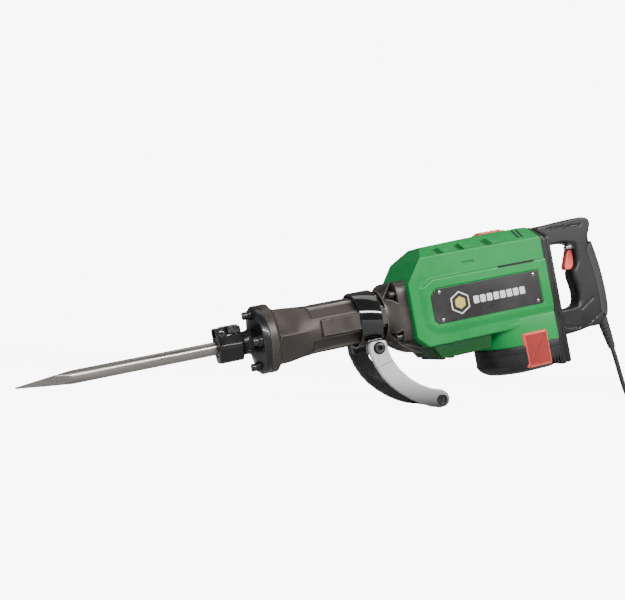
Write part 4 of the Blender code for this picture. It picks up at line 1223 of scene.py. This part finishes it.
        shop.add(f"plate_mark_rim_{name}", plate(hexagon(20.0), lo, hi, 0.15), WHITE, "body")
        lo2, hi2 = sorted((side * (face - 0.4), side * (face + 0.05)))
        shop.add(f"plate_mark_field_{name}", plate(hexagon(17.4), lo2, hi2, 0.12), PLATE, "body")
        lo3, hi3 = sorted((side * (face - 0.3), side * (face + 0.15)))
        shop.add(f"plate_mark_core_{name}", plate(hexagon(11.0), lo3, hi3, 0.12), YELLOW, "body")
        bars = [box((274 + k * 13.2, 284.5 + k * 13.2), (lo, hi), (-8.5, 4.5), 0.12, 1.8) for k in range(8)]
        shop.add(f"plate_bars_{name}", bars[0].joined(*bars[1:]), WHITE, "body")
        screws = []
        for x, z in ((212, 22), (211, -25.5), (399, 22), (400, -25.5)):
            screws.append(revolved([(side * (face - 1.0), 0), (side * (face - 1.0), 2.6),
                                    (side * (face + 0.2), 2.4),
                                    (side * (face + 0.45), 1.6), (side * (face + 0.45), 0)], "Y",
                                    (x, 0, z), 20))
        shop.add(f"plate_screws_{name}", screws[0].joined(*screws[1:]), BRIGHT, "body")

    def shoulder_parts(self, shop: Workshop) -> None:
        """Makes the slanting vent slots in painted shadow and the window floors in painted shade on the shoulders.

        Args:
            shop: the workshop.
        """
        dark = []
        frames = []
        floors = []
        for side in (-1, 1):
            for k in range(2):
                x0 = 389.0 + k * 8.4
                outline = rounded_outline([(x0, 89.8), (x0 + 4.4, 89.8), (x0 + 8.2, 105.0),
                                           (x0 + 3.8, 105.0)], 0.6, 3)
                # Vent slots: dark plates of painted shadow.
                dark.append(self.on_shoulder(outline, side, 1.6, 0.45))
            ring = rounded_outline([(385.4, 88.2), (402.6, 88.2), (409.4, 106.4), (391.6, 106.4)], 1.4, 3)
            for start, end in self.windows:
                pane = rounded_outline([(start + 0.8, 87), (end - 0.8, 87), (end - 0.8, 99.5),
                                        (start + 0.8, 99.5)],
                                       0.6, 3)
                # Window floors in the shaded green: painted shade inside the windows.
                floors.append(self.on_shoulder(pane, side, 5.4, -3.4))
            frames.append(self.on_shoulder(ring, side, 1.5, 0.25))
        shop.add("window_floors", floors[0].joined(*floors[1:]), SHADED_GREEN, "body")
        shop.add("shoulder_vent_frames", frames[0].joined(*frames[1:]), GREEN, "body")
        shop.add("shoulder_vent_slots", dark[0].joined(*dark[1:]), VOID, "body")

    def on_shoulder(self, outline: np.ndarray, side: int, under: float, over: float) -> Surface:
        """A thin plate laid on the sloping shoulder.

        Args:
            outline: side view (x, z) of it.
            side: -1 or 1.
            under: how far it goes in.
            over: how far it stands out.

        Returns:
            The surface.
        """
        flat = plate(outline, -under, over, 0.15)
        p = flat.points.copy()
        out = p[:, 1].copy()
        rise = np.interp(p[:, 0], [211, 300, 410, 430], [104, 107, 109, 108]) - self.shoulder
        slope = rise / (self.half - self.roof_half)
        norm = np.hypot(1.0, slope)
        across = self.half - (p[:, 2] - self.shoulder) / slope
        p[:, 1] = side * (across + out * slope / norm)
        p[:, 2] = p[:, 2] + out / norm
        return Surface(p, flat.faces)


@dataclass
class MotorEnd:
    """Black end cover under the motor and the two red brush covers."""

    motor: float = 366.0
    radius: float = 65.4
    half: float = 61.6
    rear: float = 429.5
    top: float = -98.3
    floor: float = -146.0

    def build(self, shop: Workshop) -> None:
        """Makes the cover, its clip recess and the red covers.

        Args:
            shop: the workshop.
        """
        turn = np.linspace(np.pi / 2, 3 * np.pi / 2, 61)
        arc = np.stack([self.motor + self.radius * np.cos(turn), self.radius * np.sin(turn)], 1)
        back = np.array([[self.rear, -self.half], [self.rear, self.half]])
        outline = np.concatenate([arc, back])
        rows = [(3.0, self.top), (0.8, self.top), (0.2, self.top - 0.5), (0.0, self.top - 1.2), (0.0, -108.0),
                (0.0, -108.6), (0.9, -109.0), (0.9, -110.0), (0.0, -110.4),
                (0.0, -129.0), (0.5, -131.0), (6.5, -139.5), (8.0, -141.2), (16.0, -145.4),
                (18.0, self.floor)]
        grid = np.stack([axis_points(np.full(len(outline), z), *inset(outline, i).T, "Z") for i, z in rows])
        shop.add("motor_end_cover", round_grid(grid), PLASTIC, "body", "lower_cover")
        clips, recess = [], []
        for side in (-1, 1):
            recess.append(self.on_cover(side, (224, 246), (-141.0, -125.5), (4.0, 0.25)))
            clips.append(self.on_cover(side, (208, 232), (-139.5, -130.0), (5.0, 1.3)))
            clips.append(self.on_cover(side, (239, 247), (-141.0, -125.5), (5.0, 0.9)))
        # The recess is a dark plate of painted shadow.
        shop.add("cover_recess", recess[0].joined(*recess[1:]), VOID, "body")
        shop.add("cover_clips", clips[0].joined(*clips[1:]), PLASTIC, "body")
        fins = [box((412 + 6.0 * k, 415 + 6.0 * k), (-63.2, 63.2), (-141, -124), 0.7) for k in range(3)]
        shop.add("cover_rear_fins", fins[0].joined(*fins[1:]), PLASTIC, "body")
        for side, name in ((-1, "left"), (1, "right")):
            lo, hi = sorted((side * 50, side * 66))
            cap = rounded_outline([(356.2, -138.8), (406.8, -138.8), (406.8, -77.2), (356.2, -77.2)], 4.4, 4)
            grid = plate(cap, lo, hi, 3.6, bevel=True)
            shop.add(f"brush_cover_{name}", grid, RED, "body", f"brush_cap_{name}")


    def on_cover(self, side: int, turn: tuple[float, float], z: tuple[float, float],
                 depth: tuple[float, float]) -> Surface:
        """A thin curved block on the round front of the cover.

        Args:
            side: -1 for the left and 1 for the right.
            turn: its two ends, in degrees round the motor axis.
            z: its lower and upper edge.
            depth: how far it goes in and how far it stands out.

        Returns:
            The surface.
        """
        angle = np.radians(np.linspace(turn[0], turn[1], 13))
        chamfer = np.interp(z, [-146.0, -141.2, -131.0, -129.0], [17.0, 8.0, 0.6, 0.0])
        rims = [(-depth[0], z[0], chamfer[0]), (-depth[0], z[1], chamfer[1]), (depth[1], z[1], chamfer[1]),
                (depth[1], z[0], chamfer[0])]
        rows = []
        for out, height, drawn_in in rims:
            radius = self.radius + out - drawn_in
            rows.append(np.stack([self.motor + radius * np.cos(angle), -side * radius * np.sin(angle),
                                  np.full(len(angle), height)], 1))
        return round_grid(np.stack(rows, 1))


@dataclass
class RearGrip:
    """Rear frame, split D grip with its rubber back, trigger and lock pin."""

    half: float = 16.5
    outer: tuple[tuple[float, float], ...] = (
        (458.3, 106), (480, 106.6), (505, 108.6), (535, 109.8), (560, 110), (572, 106), (577, 97), (574, 87),
        (567.5, 75), (568, 60), (572, 33), (575, 14), (577, -6), (578.2, -28), (578.4, -48), (577, -70),
        (573, -86), (562, -93.4), (550, -97), (533, -96), (509, -100), (480, -101.4), (458.3, -102))
    inner: tuple[tuple[float, float], ...] = (
        (458.3, 66), (475, 66.4), (490, 67.4), (502, 68.2), (512, 67.6), (520, 66), (526, 63), (528.6, 58),
        (529.4, 50), (529.4, 38), (527.6, 24), (516.4, 12.6), (516, 0), (519.4, -14), (520.6, -30),
        (519, -42),
        (514, -50), (508, -53.4), (500, -54.8), (490, -54.6), (478, -54.2), (468, -54), (458.3, -54))

    def build(self, shop: Workshop) -> None:
        """Makes all pieces of the grip.

        Args:
            shop: the workshop.
        """
        shop.add("rear_frame_casting", self.frame_body(), PLASTIC, "body", "rear_frame",
                 sharp=math.radians(28))
        left = self.grip_half()
        shop.add("grip_shell_left", left, PLASTIC, "body", "grip_half_left", sharp=math.radians(30))
        shop.add("grip_shell_right", left.mirrored(), PLASTIC, "body", "grip_half_right",
                 sharp=math.radians(30))
        shop.add("grip_rubber_back", self.rubber(), RUBBER, "body", "grip_rubber")
        self.controls(shop)

    def frame_body(self) -> Surface:
        """The end frame: sections across the tool that follow the shell's slopes, stepped and waisted.

        Returns:
            The closed surface.
        """
        table = np.array([
            (430.4, 58.4, 105.0, -144.6), (430.9, 59.4, 105.8, -145.6), (432.0, 59.8, 106.0, -146.0),
            (437.0, 59.8, 106.0, -146.0), (437.8, 59.0, 105.4, -145.2), (438.4, 56.4, 103.4, -143.0),
            (444.0, 55.8, 103.0, -142.6), (444.8, 56.6, 104.8, -144.4), (446.0, 56.8, 105.2, -145.4),
            (450.0, 56.4, 105.0, -145.0), (452.0, 54.5, 103.6, -143.0), (453.6, 51.0, 100.6, -139.0)])
        x, half, top, floor = table.T
        shoulder = top - 20.0
        inner = np.clip(half - 36.0, 18.0, None)
        corners = np.stack([np.stack([-half, floor], 1), np.stack([-half, shoulder], 1),
                            np.stack([-inner, top], 1),
                            np.stack([inner, top], 1), np.stack([half, shoulder], 1),
                            np.stack([half, floor], 1)], 1)
        rings = rounded_rings(corners, np.full(corners.shape[:2], 3.5), 5, [24, 6, 4, 6, 24, 8])
        grid = np.concatenate([np.broadcast_to(x[:, None, None], (*rings.shape[:2], 1)), rings], 2)
        web = rounded_outline([(450, 60), (457.6, 52), (457.9, -36), (455.4, -98), (450, -120)], 3.0, 4)
        return round_grid(grid).joined(plate(web, -30.0, 30.0, 2.6))

    def curves(self, count: int) -> tuple[np.ndarray, np.ndarray]:
        """Outer and inner lines of the D at matching places.

        Args:
            count: points on each.

        Returns:
            The outer and inner (x, z) lines.
        """
        made = []
        for line in (self.outer, self.inner):
            table = np.array(line)
            knots = np.arange(len(table))
            at = np.linspace(0, len(table) - 1, count)
            fine = np.stack([np.interp(at, knots, table[:, 0]), np.interp(at, knots, table[:, 1])], 1)
            width = 5
            padded = np.concatenate([np.repeat(fine[:1], width, 0), fine, np.repeat(fine[-1:], width, 0)])
            kernel = np.hanning(2 * width + 3)[1:-1]
            kernel /= kernel.sum()
            soft = np.stack([np.convolve(padded[:, k], kernel, "valid") for k in (0, 1)], 1)
            soft[0], soft[-1] = fine[0], fine[-1]
            made.append(soft)
        return made[0], made[1]

    def grip_half(self) -> Surface:
        """The left half: a half-rounded section from the inner to the outer line, carried round the D.

        A section runs flat at the split, round over the outer rim, flat on the side and round over the
        inner rim; grooves on the side follow the distance to a few short lines.

        Returns:
            The closed surface.
        """
        count = 240
        outer, inner = self.curves(count)
        across = outer - inner
        width = np.linalg.norm(across, axis=1)
        along = np.linspace(0, 1, count)
        grip = smooth((along - 0.22) / 0.1) * smooth((0.80 - along) / 0.1)
        rim = 5.0 + 5.5 * grip
        turn = np.linspace(0, np.pi / 2, 8)
        thick = self.half - 0.15
        rows = []
        for a in turn:
            rows.append((rim * (1 - math.cos(a)), thick - rim + rim * math.sin(a)))
        side_steps = 22
        for t in np.linspace(0, 1, side_steps + 2)[1:-1]:
            rows.append((rim + (width - 2 * rim) * t, np.full(count, thick)))
        for a in turn[::-1]:
            rows.append((width - rim * (1 - math.cos(a)), thick - rim + rim * math.sin(a)))
        rows.append((width, np.zeros(count)))
        rows.append((np.zeros(count), np.zeros(count)))
        u = np.stack([r[0] for r in rows], 1)
        v = np.stack([r[1] for r in rows], 1)
        share = u / width[:, None]
        x = inner[:, 0, None] + across[:, 0, None] * share
        z = inner[:, 1, None] + across[:, 1, None] * share
        depth = np.zeros_like(x)
        lines = [((480, 97.6), (551, 95.8), 2.3, 1.6), ((479, -86), (509, -91.5), 2.2, 1.6),
                 ((519, -63), (530, -89), 0.9, 0.9), ((530, -90), (571, -70), 0.9, 0.9),
                 ((520, -61), (552, -43), 1.2, 0.9), ((516, 28), (520, 66), 0.9, 0.7)]
        for (x0, z0), (x1, z1), wide, deep in lines:
            step = np.array([x1 - x0, z1 - z0])
            t = np.clip(((x - x0) * step[0] + (z - z0) * step[1]) / (step ** 2).sum(), 0, 1)
            away = np.hypot(x - x0 - t * step[0], z - z0 - t * step[1])
            depth = np.maximum(depth, deep * smooth((wide - away) / 0.9 + 0.4))
        flat = v > thick - 0.01
        v = v - np.where(flat, depth, 0.0)
        return round_grid(np.stack([x, -v - 0.15, z], -1))

    def rubber(self) -> Surface:
        """Soft back of the grip: a band over the outer line that wraps a little on to both sides."""
        outer, inner = self.curves(240)
        first, last = 96, 172
        line = outer[first:last]
        across = outer[first:last] - inner[first:last]
        across /= np.linalg.norm(across, axis=1, keepdims=True)
        t = np.linspace(0, 1, last - first)
        swell = np.sqrt(np.clip(1 - (2 * t - 1) ** 6, 0, 1))
        back = 5.0 * swell
        wrap = 15.0 * smooth(swell * 1.2)
        section = np.array([(-1, -17.2), (0, -17.2), (0.55, -15.5), (0.86, -11), (1, -5), (1, 5), (0.86, 11),
                            (0.55, 15.5), (0, 17.2), (-1, 17.2), (-1, 14), (-1, 0), (-1, -14)])
        reach = np.where(section[:, 0][None] < 0, section[:, 0][None] * wrap[:, None],
                         section[:, 0][None] * (back[:, None] + 0.4))
        ripple = 0.35 * np.cos(t * 2 * np.pi * 16)[:, None] * (section[:, 0][None] > 0.8)
        reach = reach + ripple * swell[:, None]
        x = line[:, 0, None] + across[:, 0, None] * reach
        z = line[:, 1, None] + across[:, 1, None] * reach
        y = np.broadcast_to(section[:, 1][None], x.shape)
        return round_grid(np.stack([x, y, z], -1))

    def controls(self, shop: Workshop) -> None:
        """Makes the trigger and the lock pin.

        Args:
            shop: the workshop.
        """
        trigger = rounded_outline([(523, 58), (519, 48), (514, 36), (508.6, 24), (508.4, 18.5), (512, 16.4),
                                   (526, 16), (531, 20), (533, 40), (531, 58)], 2.0, 4)
        shop.add("trigger_lever", plate(trigger, -6.5, 6.5, 1.6), RED, "trigger", "trigger")
        seat = box((518, 533), (-13.0, -7.5), (53.4, 66), 1.0, 1.6)
        shop.add("lock_pin_seat", seat, PLASTIC, "body")
        pin = rounded_outline([(509.6, 54.4), (523.4, 54.4), (523.4, 61.0), (509.6, 61.0)], 2.1, 6)
        pin = inset(pin, 0.6)
        shop.add("lock_pin", plate(pin, -19.0, -9.5, 1.0), BRIGHT, "lock_button", "lock_button")


@dataclass
class SideHandle:
    """Clamp band, two curved arms, cross grip and their screws."""

    band: tuple[float, float] = (71.0, 110.0)
    radius: float = 48.5
    grip: tuple[float, float] = (186.0, -157.0)

    def build(self, shop: Workshop) -> None:
        """Makes the handle.

        Args:
            shop: the workshop.
        """
        a, b = self.band
        r = self.radius
        profile = [(a, 44.4), (a, r - 1.6), (a + 0.5, r - 0.5), (a + 1.6, r), (b - 1.6, r),
                   (b - 0.5, r - 0.5), (b, r - 1.6), (b, 44.4)]
        table = np.array(profile)
        angle = np.linspace(0, 2 * np.pi, 120, endpoint=False)
        ring = round_grid(polar_rows(table[:, 0], np.repeat(table[:, 1:], 120, 1), angle), closed_rows=True)
        lugs = [box((76, 105), tuple(sorted((s * 31, s * 44.5))), (-60, -34), 2.0, 4.0) for s in (-1, 1)]
        shop.add("clamp_ring", ring.joined(*lugs), GLOSS, "side_handle", "clamp_band")
        arm = rounded_outline([
            (74, -38), (74, -58), (80, -80), (89, -100), (100, -116), (114, -131), (130, -145), (148, -157),
            (166, -166), (181, -170.5), (192, -170), (199, -165), (201.5, -157), (199, -148), (191, -141),
            (170, -134), (153, -124), (137, -111), (122, -93), (111, -73), (107, -57), (106, -38)], 9.0, 6)
        gx, gz = self.grip
        # The left arm is the near arm and takes the painted reflection; the far arm keeps its black lacquer.
        for side, name, finish in ((-1, "left", ARM_PAINTED_REFLECTION), (1, "right", FAR_ARM)):
            seam = rounded_outline([(79, -82.2), (113, -74.2), (113, -73.4), (79, -81.4)], 0.3, 2)
            lo, hi = sorted((side * 53, side * 55.12))
            shop.add(f"bow_seam_{name}", plate(seam, lo, hi, 0.1), VOID, "side_handle")
            cup = revolved([(side * 54, 0), (side * 54, 11.0), (side * 55.3, 10.6), (side * 55.3, 8.0),
                            (side * 55.0, 0)],
                           "Y", (91, 0, -50), 40)
            shop.add(f"screw_cup_{name}", cup, GLOSS, "side_handle")
            lo, hi = sorted((side * 45, side * 55))
            shop.add(f"handle_bow_{name}", plate(arm, lo, hi, 2.2, steps=4), finish, "side_handle",
                     f"handle_arm_{name}")
            screw = cap_screw("Y", (91, 0, -50), side * 60.0, side * 36, 8.2, 4.0)
            shop.add(f"band_screw_{name}", screw, SCREW, "side_handle", f"clamp_screw_{name}")
        ribs = []
        for k in range(17):
            y = -40 + k * 5.0
            ribs += [(y - 1.9, 13.1), (y - 1.2, 14.0), (y + 1.2, 14.0), (y + 1.9, 13.1)]
        profile = [(-44.6, 0), (-44.6, 12.5), (-43.4, 13.6), *ribs, (43.4, 13.6), (44.6, 12.5), (44.6, 0)]
        shop.add("cross_grip_sleeve", revolved(profile, "Y", (gx, 0, gz), 48), RUBBER, "side_handle",
                 "side_grip")
        end = 55.2
        heads = [(-end - 4.0, 0), (-end - 4.0, 3.2), (-end - 2.2, 4.0), (-end - 2.2, 5.6), (-end - 4.0, 6.2),
                 (-end - 3.6, 8.4), (-end, 9.0), (-end, 5.0), (end, 5.0), (end, 9.0), (end + 3.6, 8.4),
                 (end + 4.0, 6.2), (end + 2.2, 5.6), (end + 2.2, 4.0), (end + 4.0, 3.2), (end + 4.0, 0)]
        shop.add("grip_through_bolt", revolved(heads, "Y", (gx, 0, gz), 36), GLOSS, "side_handle",
                 "grip_bolt")


@dataclass
class MainsCord:
    """Rubber mains cord: run from the boot to the floor, round coil beside the tool, and plug."""

    radius: float = 4.5
    rest: float = 4.7
    turn_gap: float = 9.15
    coil_radius: float = 50.2
    land: float = 84.0
    lead: float = 52.0
    boot_start: tuple[float, float] = (572.0, -80.0)
    boot_end: tuple[float, float] = (584.0, -146.0)

    def route(self, shop: Workshop) -> np.ndarray:
        """Centreline of the cord in the row frame, in millimetres.

        A cubic curve leaves along the boot and lands flat; the coil's radius steps by one cord width
        each turn, inward on the floor and outward on the second layer, and the last turn climbs on top.

        Args:
            shop: the workshop.

        Returns:
            (points, 3).
        """
        start3 = np.array([self.boot_start[0], 0, self.boot_start[1]])
        end3 = np.array([self.boot_end[0], 0, self.boot_end[1]])
        start, leave = (shop.tool.world(p) / MM for p in (start3 + (end3 - start3) * 0.25, end3))
        out = (leave - start) / np.linalg.norm(leave - start)
        landing = np.array([leave[0] + self.land, 6.0, self.rest])
        handles = [leave, leave + out * 62, np.array([landing[0] - 46, 3.0, self.rest]), landing]
        t = np.linspace(0, 1, 22)[:, None]
        fall = ((1 - t) ** 3 * handles[0] + 3 * (1 - t) ** 2 * t * handles[1]
                + 3 * (1 - t) * t ** 2 * handles[2]
                + t ** 3 * handles[3])
        centre = np.array([landing[0] + self.lead + self.coil_radius,
                           6.5 + self.coil_radius + self.turn_gap, 0.0])
        flat = np.linspace(landing[0] + 14, centre[0] - 10, 6)
        run = np.stack([flat, np.full(6, 6.5), np.full(6, self.rest)], 1)
        return np.concatenate([[start], fall, run, self.coil(centre)])

    def coil(self, centre: np.ndarray) -> np.ndarray:
        """Six whole turns in two layers and one on top that narrows.

        Args:
            centre: middle of the coil on the floor.

        Returns:
            (points, 3).
        """
        turns = np.linspace(0, 7, 7 * 30 + 1)
        whole = np.floor(turns)
        into = smooth((turns - whole - 0.82) / 0.18)
        gap, mid = self.turn_gap, self.coil_radius
        radii = np.array([mid + gap, mid, mid - gap, mid - gap, mid, mid + gap, mid + gap, mid + gap])
        heights = self.rest + np.array([0, 0, 0, 1, 1, 1, 1, 1]) * (gap + 0.05)
        k = np.minimum(whole.astype(int), 6)
        radius = radii[k] * (1 - into) + radii[np.minimum(k + 1, 7)] * into
        height = heights[k] * (1 - into) + heights[np.minimum(k + 1, 7)] * into
        last = turns > 6 - 1e-9
        over = turns[last] - 6
        height[last] = (heights[6] + (gap + 0.3) * smooth((over - 0.115) / 0.155)
                        + 5.2 * smooth((over - 0.8) / 0.2))
        radius[last] = radii[6] - (gap + 4.0) * smooth((over - 0.27) / 0.34)
        angle = -np.pi / 2 + 2 * np.pi * turns
        return np.stack([centre[0] + radius * np.cos(angle), centre[1] + radius * np.sin(angle), height], 1)

    def build(self, shop: Workshop) -> None:
        """Args:
            shop: the workshop.
        """
        self.boot(shop)
        path = self.route(shop)
        surface = tube(path, np.full(len(path), self.radius), 12)
        cord = shop.add("mains_cord", Surface(surface.points * MM, surface.faces), RUBBER, "body", "cord",
                        "cord_coil", in_tool=False)
        plug = self.plug(shop, path)
        tie = self.tie(shop, path)
        leave = shop.tool.world(np.array([self.boot_start[0], 0, self.boot_start[1]]) * 0.75
                                + np.array([self.boot_end[0], 0, self.boot_end[1]]) * 0.25)

    def boot(self, shop: Workshop) -> None:
        """Makes the ribbed strain relief.

        Args:
            shop: the workshop.
        """
        start = np.array([self.boot_start[0], 0, self.boot_start[1]])
        end = np.array([self.boot_end[0], 0, self.boot_end[1]])
        length = float(np.linalg.norm(end - start))
        profile = [(0, 4.9), (0, 9.6), (0.6, 9.9), (9.5, 9.9), (12.0, 9.8)]
        for k in range(7):
            at = 14 + k * 7.2
            size = 9.9 - 3.5 * (at / length) ** 1.6
            profile += [(at, size), (at + 3.6, size - 0.15), (at + 4.0, size - 0.7), (at + 5.6, size - 0.75),
                        (at + 6.0, size - 0.25)]
        profile += [(length - 0.5, 6.2), (length, 5.8), (length, 4.9)]
        table = np.array(profile)
        angle = np.linspace(0, 2 * np.pi, 36, endpoint=False)[None]
        ahead = (end - start) / length
        over = np.array([ahead[2], 0, -ahead[0]])
        grid = (start + ahead * table[:, :1, None] + over * (table[:, 1:] * np.cos(angle))[..., None]
                + np.array([0, 1.0, 0]) * (table[:, 1:] * np.sin(angle))[..., None])
        shop.add("cord_strain_relief", round_grid(grid, closed_rows=True), RUBBER, "body", "cord_boot")

    def plug(self, shop: Workshop, path: np.ndarray) -> bpy.types.Object:
        """Makes the two-pin plug at the cord's end, lying on the coil along +X.

        Args:
            shop: the workshop.
            path: the cord's centreline.

        Returns:
            The plug.
        """
        x, y, z = path[-1]
        table = np.array([(-6, 4.7, 4.7), (-5.6, 6.2, 6.2), (4, 7.4, 7.0), (8, 10, 8.2), (13, 15.5, 9.6),
                          (18, 17.2, 10.0), (36, 17.2, 10.0), (37.4, 16.4, 9.4), (37.8, 15.2, 8.4)])
        angle = np.linspace(0, 2 * np.pi, 48, endpoint=False)
        c, s = np.cos(angle), np.sin(angle)
        shape = (np.abs(c) ** 3 + np.abs(s) ** 3) ** (-1 / 3)
        body = np.stack([axis_points(np.full(48, x + a), y + w * c * shape * 0.92,
                                     z + h * s * shape * 0.92, "X")
                         for a, w, h in table])
        pieces = [round_grid(body)]
        for side in (-9.5, 9.5):
            pieces.append(revolved([(x + 36, 0), (x + 36, 2.4), (x + 54.5, 2.4), (x + 56, 1.6),
                                    (x + 56, 0)], "X",
                                   (0, y + side, z), 16))
        whole = pieces[0].joined(*pieces[1:])
        return shop.add("round_pin_plug", Surface(whole.points * MM, whole.faces), RUBBER, "body",
                        "mains_plug",
                        in_tool=False)

    def tie(self, shop: Workshop, path: np.ndarray) -> bpy.types.Object:
        """Makes the strap that holds the coil, a flat loop round its section at the far side.

        Args:
            shop: the workshop.
            path: the cord's centreline.

        Returns:
            The tie.
        """
        centre_y = 6.5 + self.coil_radius + self.turn_gap
        centre_x = path[-1][0]
        inner = self.coil_radius - self.turn_gap - self.radius - 0.5
        outer = self.coil_radius + self.turn_gap + self.radius + 0.5
        low, high = 0.25, self.rest + 2 * self.turn_gap + self.radius + 0.7
        line = rounded_outline([(inner, low), (outer, low), (outer, high - 9), (outer - 5, high),
                                (inner, high)], 2.0, 5)
        rings = []
        for amount, offset in ((0.0, -4.0), (0.0, 4.0), (-0.9, 4.0), (-0.9, -4.0)):
            ring = inset(line, amount)
            ring[:, 1] = np.maximum(ring[:, 1], 0.05)
            rings.append(np.stack([np.full(len(ring), centre_x + offset), centre_y + ring[:, 0],
                                   ring[:, 1]], 1))
        grid = np.stack(rings)
        surface = round_grid(grid, closed_rows=True)
        return shop.add("coil_strap", Surface(surface.points * MM, surface.faces), PLASTIC, "body",
                        in_tool=False)


@dataclass
class Studio:
    """Pale floor, soft lights and the camera."""

    lens: float = 46.08
    place: tuple[float, float, float] = (-408.27, -1285.84, 48.50)
    heading: float = 18.0
    roll: float = 10.5797

    def camera(self, shop: Workshop) -> None:
        """Places the camera: it looks level across the tool frame and is rolled about its line of sight.

        Args:
            shop: the workshop.
        """
        turn, roll = math.radians(self.heading), math.radians(self.roll)
        ahead = np.array([math.sin(turn), math.cos(turn), 0.0])
        level = np.array([math.cos(turn), -math.sin(turn), 0.0])
        up = np.array([0.0, 0.0, 1.0])
        right = math.cos(roll) * level - math.sin(roll) * up
        over = math.sin(roll) * level + math.cos(roll) * up
        basis = np.stack([right, over, -ahead]) @ shop.tool.axes
        matrix = Matrix.Identity(4)
        for column in range(3):
            for row in range(3):
                matrix[row][column] = float(basis[column][row])
        where = shop.tool.world(np.array(self.place))
        for row in range(3):
            matrix[row][3] = float(where[row])
        data = bpy.data.cameras.new("view")
        data.lens = self.lens
        data.sensor_width = 36.0
        data.sensor_fit = "HORIZONTAL"
        data.clip_start = 0.02
        data.clip_end = 60.0
        view = bpy.data.objects.new("view", data)
        view.matrix_world = matrix
        bpy.context.scene.collection.objects.link(view)
        bpy.context.scene.camera = view

    def light(self, name: str, place: tuple[float, float, float], target: tuple[float, float, float],
              size: tuple[float, float], power: float) -> None:
        """Adds a soft box.

        Args:
            name: its name.
            place: where it hangs, in metres.
            target: what it faces.
            size: its width and height.
            power: its power in watts.
        """
        data = bpy.data.lights.new(name, "AREA")
        data.shape = "RECTANGLE"
        data.size, data.size_y = size
        data.energy = power
        lamp = bpy.data.objects.new(name, data)
        bpy.context.scene.collection.objects.link(lamp)
        away = np.array(place) - np.array(target)
        away = away / np.linalg.norm(away)
        side = np.cross((0.0, 0.0, 1.0), away)
        side = side / np.linalg.norm(side)
        over = np.cross(away, side)
        matrix = Matrix.Identity(4)
        for column, axis in enumerate((side, over, away)):
            for row in range(3):
                matrix[row][column] = float(axis[row])
        for row in range(3):
            matrix[row][3] = place[row]
        lamp.matrix_world = matrix

    def build(self, shop: Workshop) -> None:
        """Makes the floor, the surroundings and the lights.

        Args:
            shop: the workshop.
        """
        world = bpy.data.worlds.new("studio")
        bpy.context.scene.world = world
        world.use_nodes = True
        tree = world.node_tree
        ground = tree.nodes["Background"]
        ground.inputs["Color"].default_value = (1, 1, 1, 1)
        ground.inputs["Strength"].default_value = 0.16
        seen = tree.nodes.new("ShaderNodeBackground")
        seen.inputs["Color"].default_value = (1, 1, 1, 1)
        seen.inputs["Strength"].default_value = 8.4
        choose = tree.nodes.new("ShaderNodeMixShader")
        ray = tree.nodes.new("ShaderNodeLightPath")
        tree.links.new(ray.outputs["Is Camera Ray"], choose.inputs[0])
        tree.links.new(ground.outputs[0], choose.inputs[1])
        tree.links.new(seen.outputs[0], choose.inputs[2])
        tree.links.new(choose.outputs[0], tree.nodes["World Output"].inputs["Surface"])
        count = 64
        angle = np.linspace(0, 2 * np.pi, count, endpoint=False)
        grid = np.stack([np.stack([r * np.cos(angle), r * np.sin(angle), np.zeros(count)],
                                  1) for r in (0.001, 25.0)])
        mesh = bpy.data.meshes.new("floor")
        surface = round_grid(grid)
        mesh.from_pydata(surface.points.tolist(), [], surface.faces[:count])
        paper = bpy.data.materials.new("pale_floor")
        paper.use_nodes = True
        shader = paper.node_tree.nodes["Principled BSDF"]
        shader.inputs["Base Color"].default_value = (0.55, 0.55, 0.55, 1)
        shader.inputs["Roughness"].default_value = 0.9
        glow = paper.node_tree.nodes.new("ShaderNodeEmission")
        glow.inputs["Strength"].default_value = 8.0
        seen_floor = paper.node_tree.nodes.new("ShaderNodeLightPath")
        lit = paper.node_tree.nodes.new("ShaderNodeAddShader")
        bright = paper.node_tree.nodes.new("ShaderNodeMixShader")
        paper.node_tree.links.new(shader.outputs[0], lit.inputs[0])
        paper.node_tree.links.new(glow.outputs[0], lit.inputs[1])
        paper.node_tree.links.new(seen_floor.outputs["Is Camera Ray"], bright.inputs[0])
        paper.node_tree.links.new(shader.outputs[0], bright.inputs[1])
        paper.node_tree.links.new(lit.outputs[0], bright.inputs[2])
        paper.node_tree.links.new(bright.outputs[0],
                                  paper.node_tree.nodes["Material Output"].inputs["Surface"])
        mesh.materials.append(paper)
        floor = bpy.data.objects.new("floor", mesh)
        floor.location = (0, 0, -0.0005)
        bpy.context.scene.collection.objects.link(floor)
        self.light("key_strip", (0.8, -3.0, 1.9), (0.8, 0, 0.2), (5.0, 0.24), 235)
        self.light("top_box", (0.3, 0.4, 2.6), (0.1, 0, 0.2), (2.6, 1.0), 13)
        self.light("side_box", (-3.0, -0.6, 1.2), (0, 0, 0.2), (1.4, 1.0), 16)


def dress_carried_nodes() -> None:
    """Gives every frame node its finish, from the slot that the record names for it."""
    for row in frame["record"].get("materials", []):
        finish = CARRIED_FINISHES[Slot(row["slot"])]
        for node in frame["nodes"].values():
            for holder in node.material_slots:
                if holder.material and holder.material.name.split(".")[0] == row["slot"]:
                    holder.material = finish.material()


def main() -> None:
    """Builds every sub-assembly in order and dresses the nodes that stay."""
    logging.basicConfig(level=logging.INFO, format="%(name)s: %(message)s")
    shop = Workshop()
    studio = Studio()
    studio.camera(shop)
    MainsCord().build(shop)
    dress_carried_nodes()
    for assembly in (Chisel(), Nose(), Barrel(), CrankCase(), MotorHousing(), MotorEnd(), RearGrip(),
                     SideHandle()):
        assembly.build(shop)
    studio.build(shop)


if __name__ == "__main__":
    main()
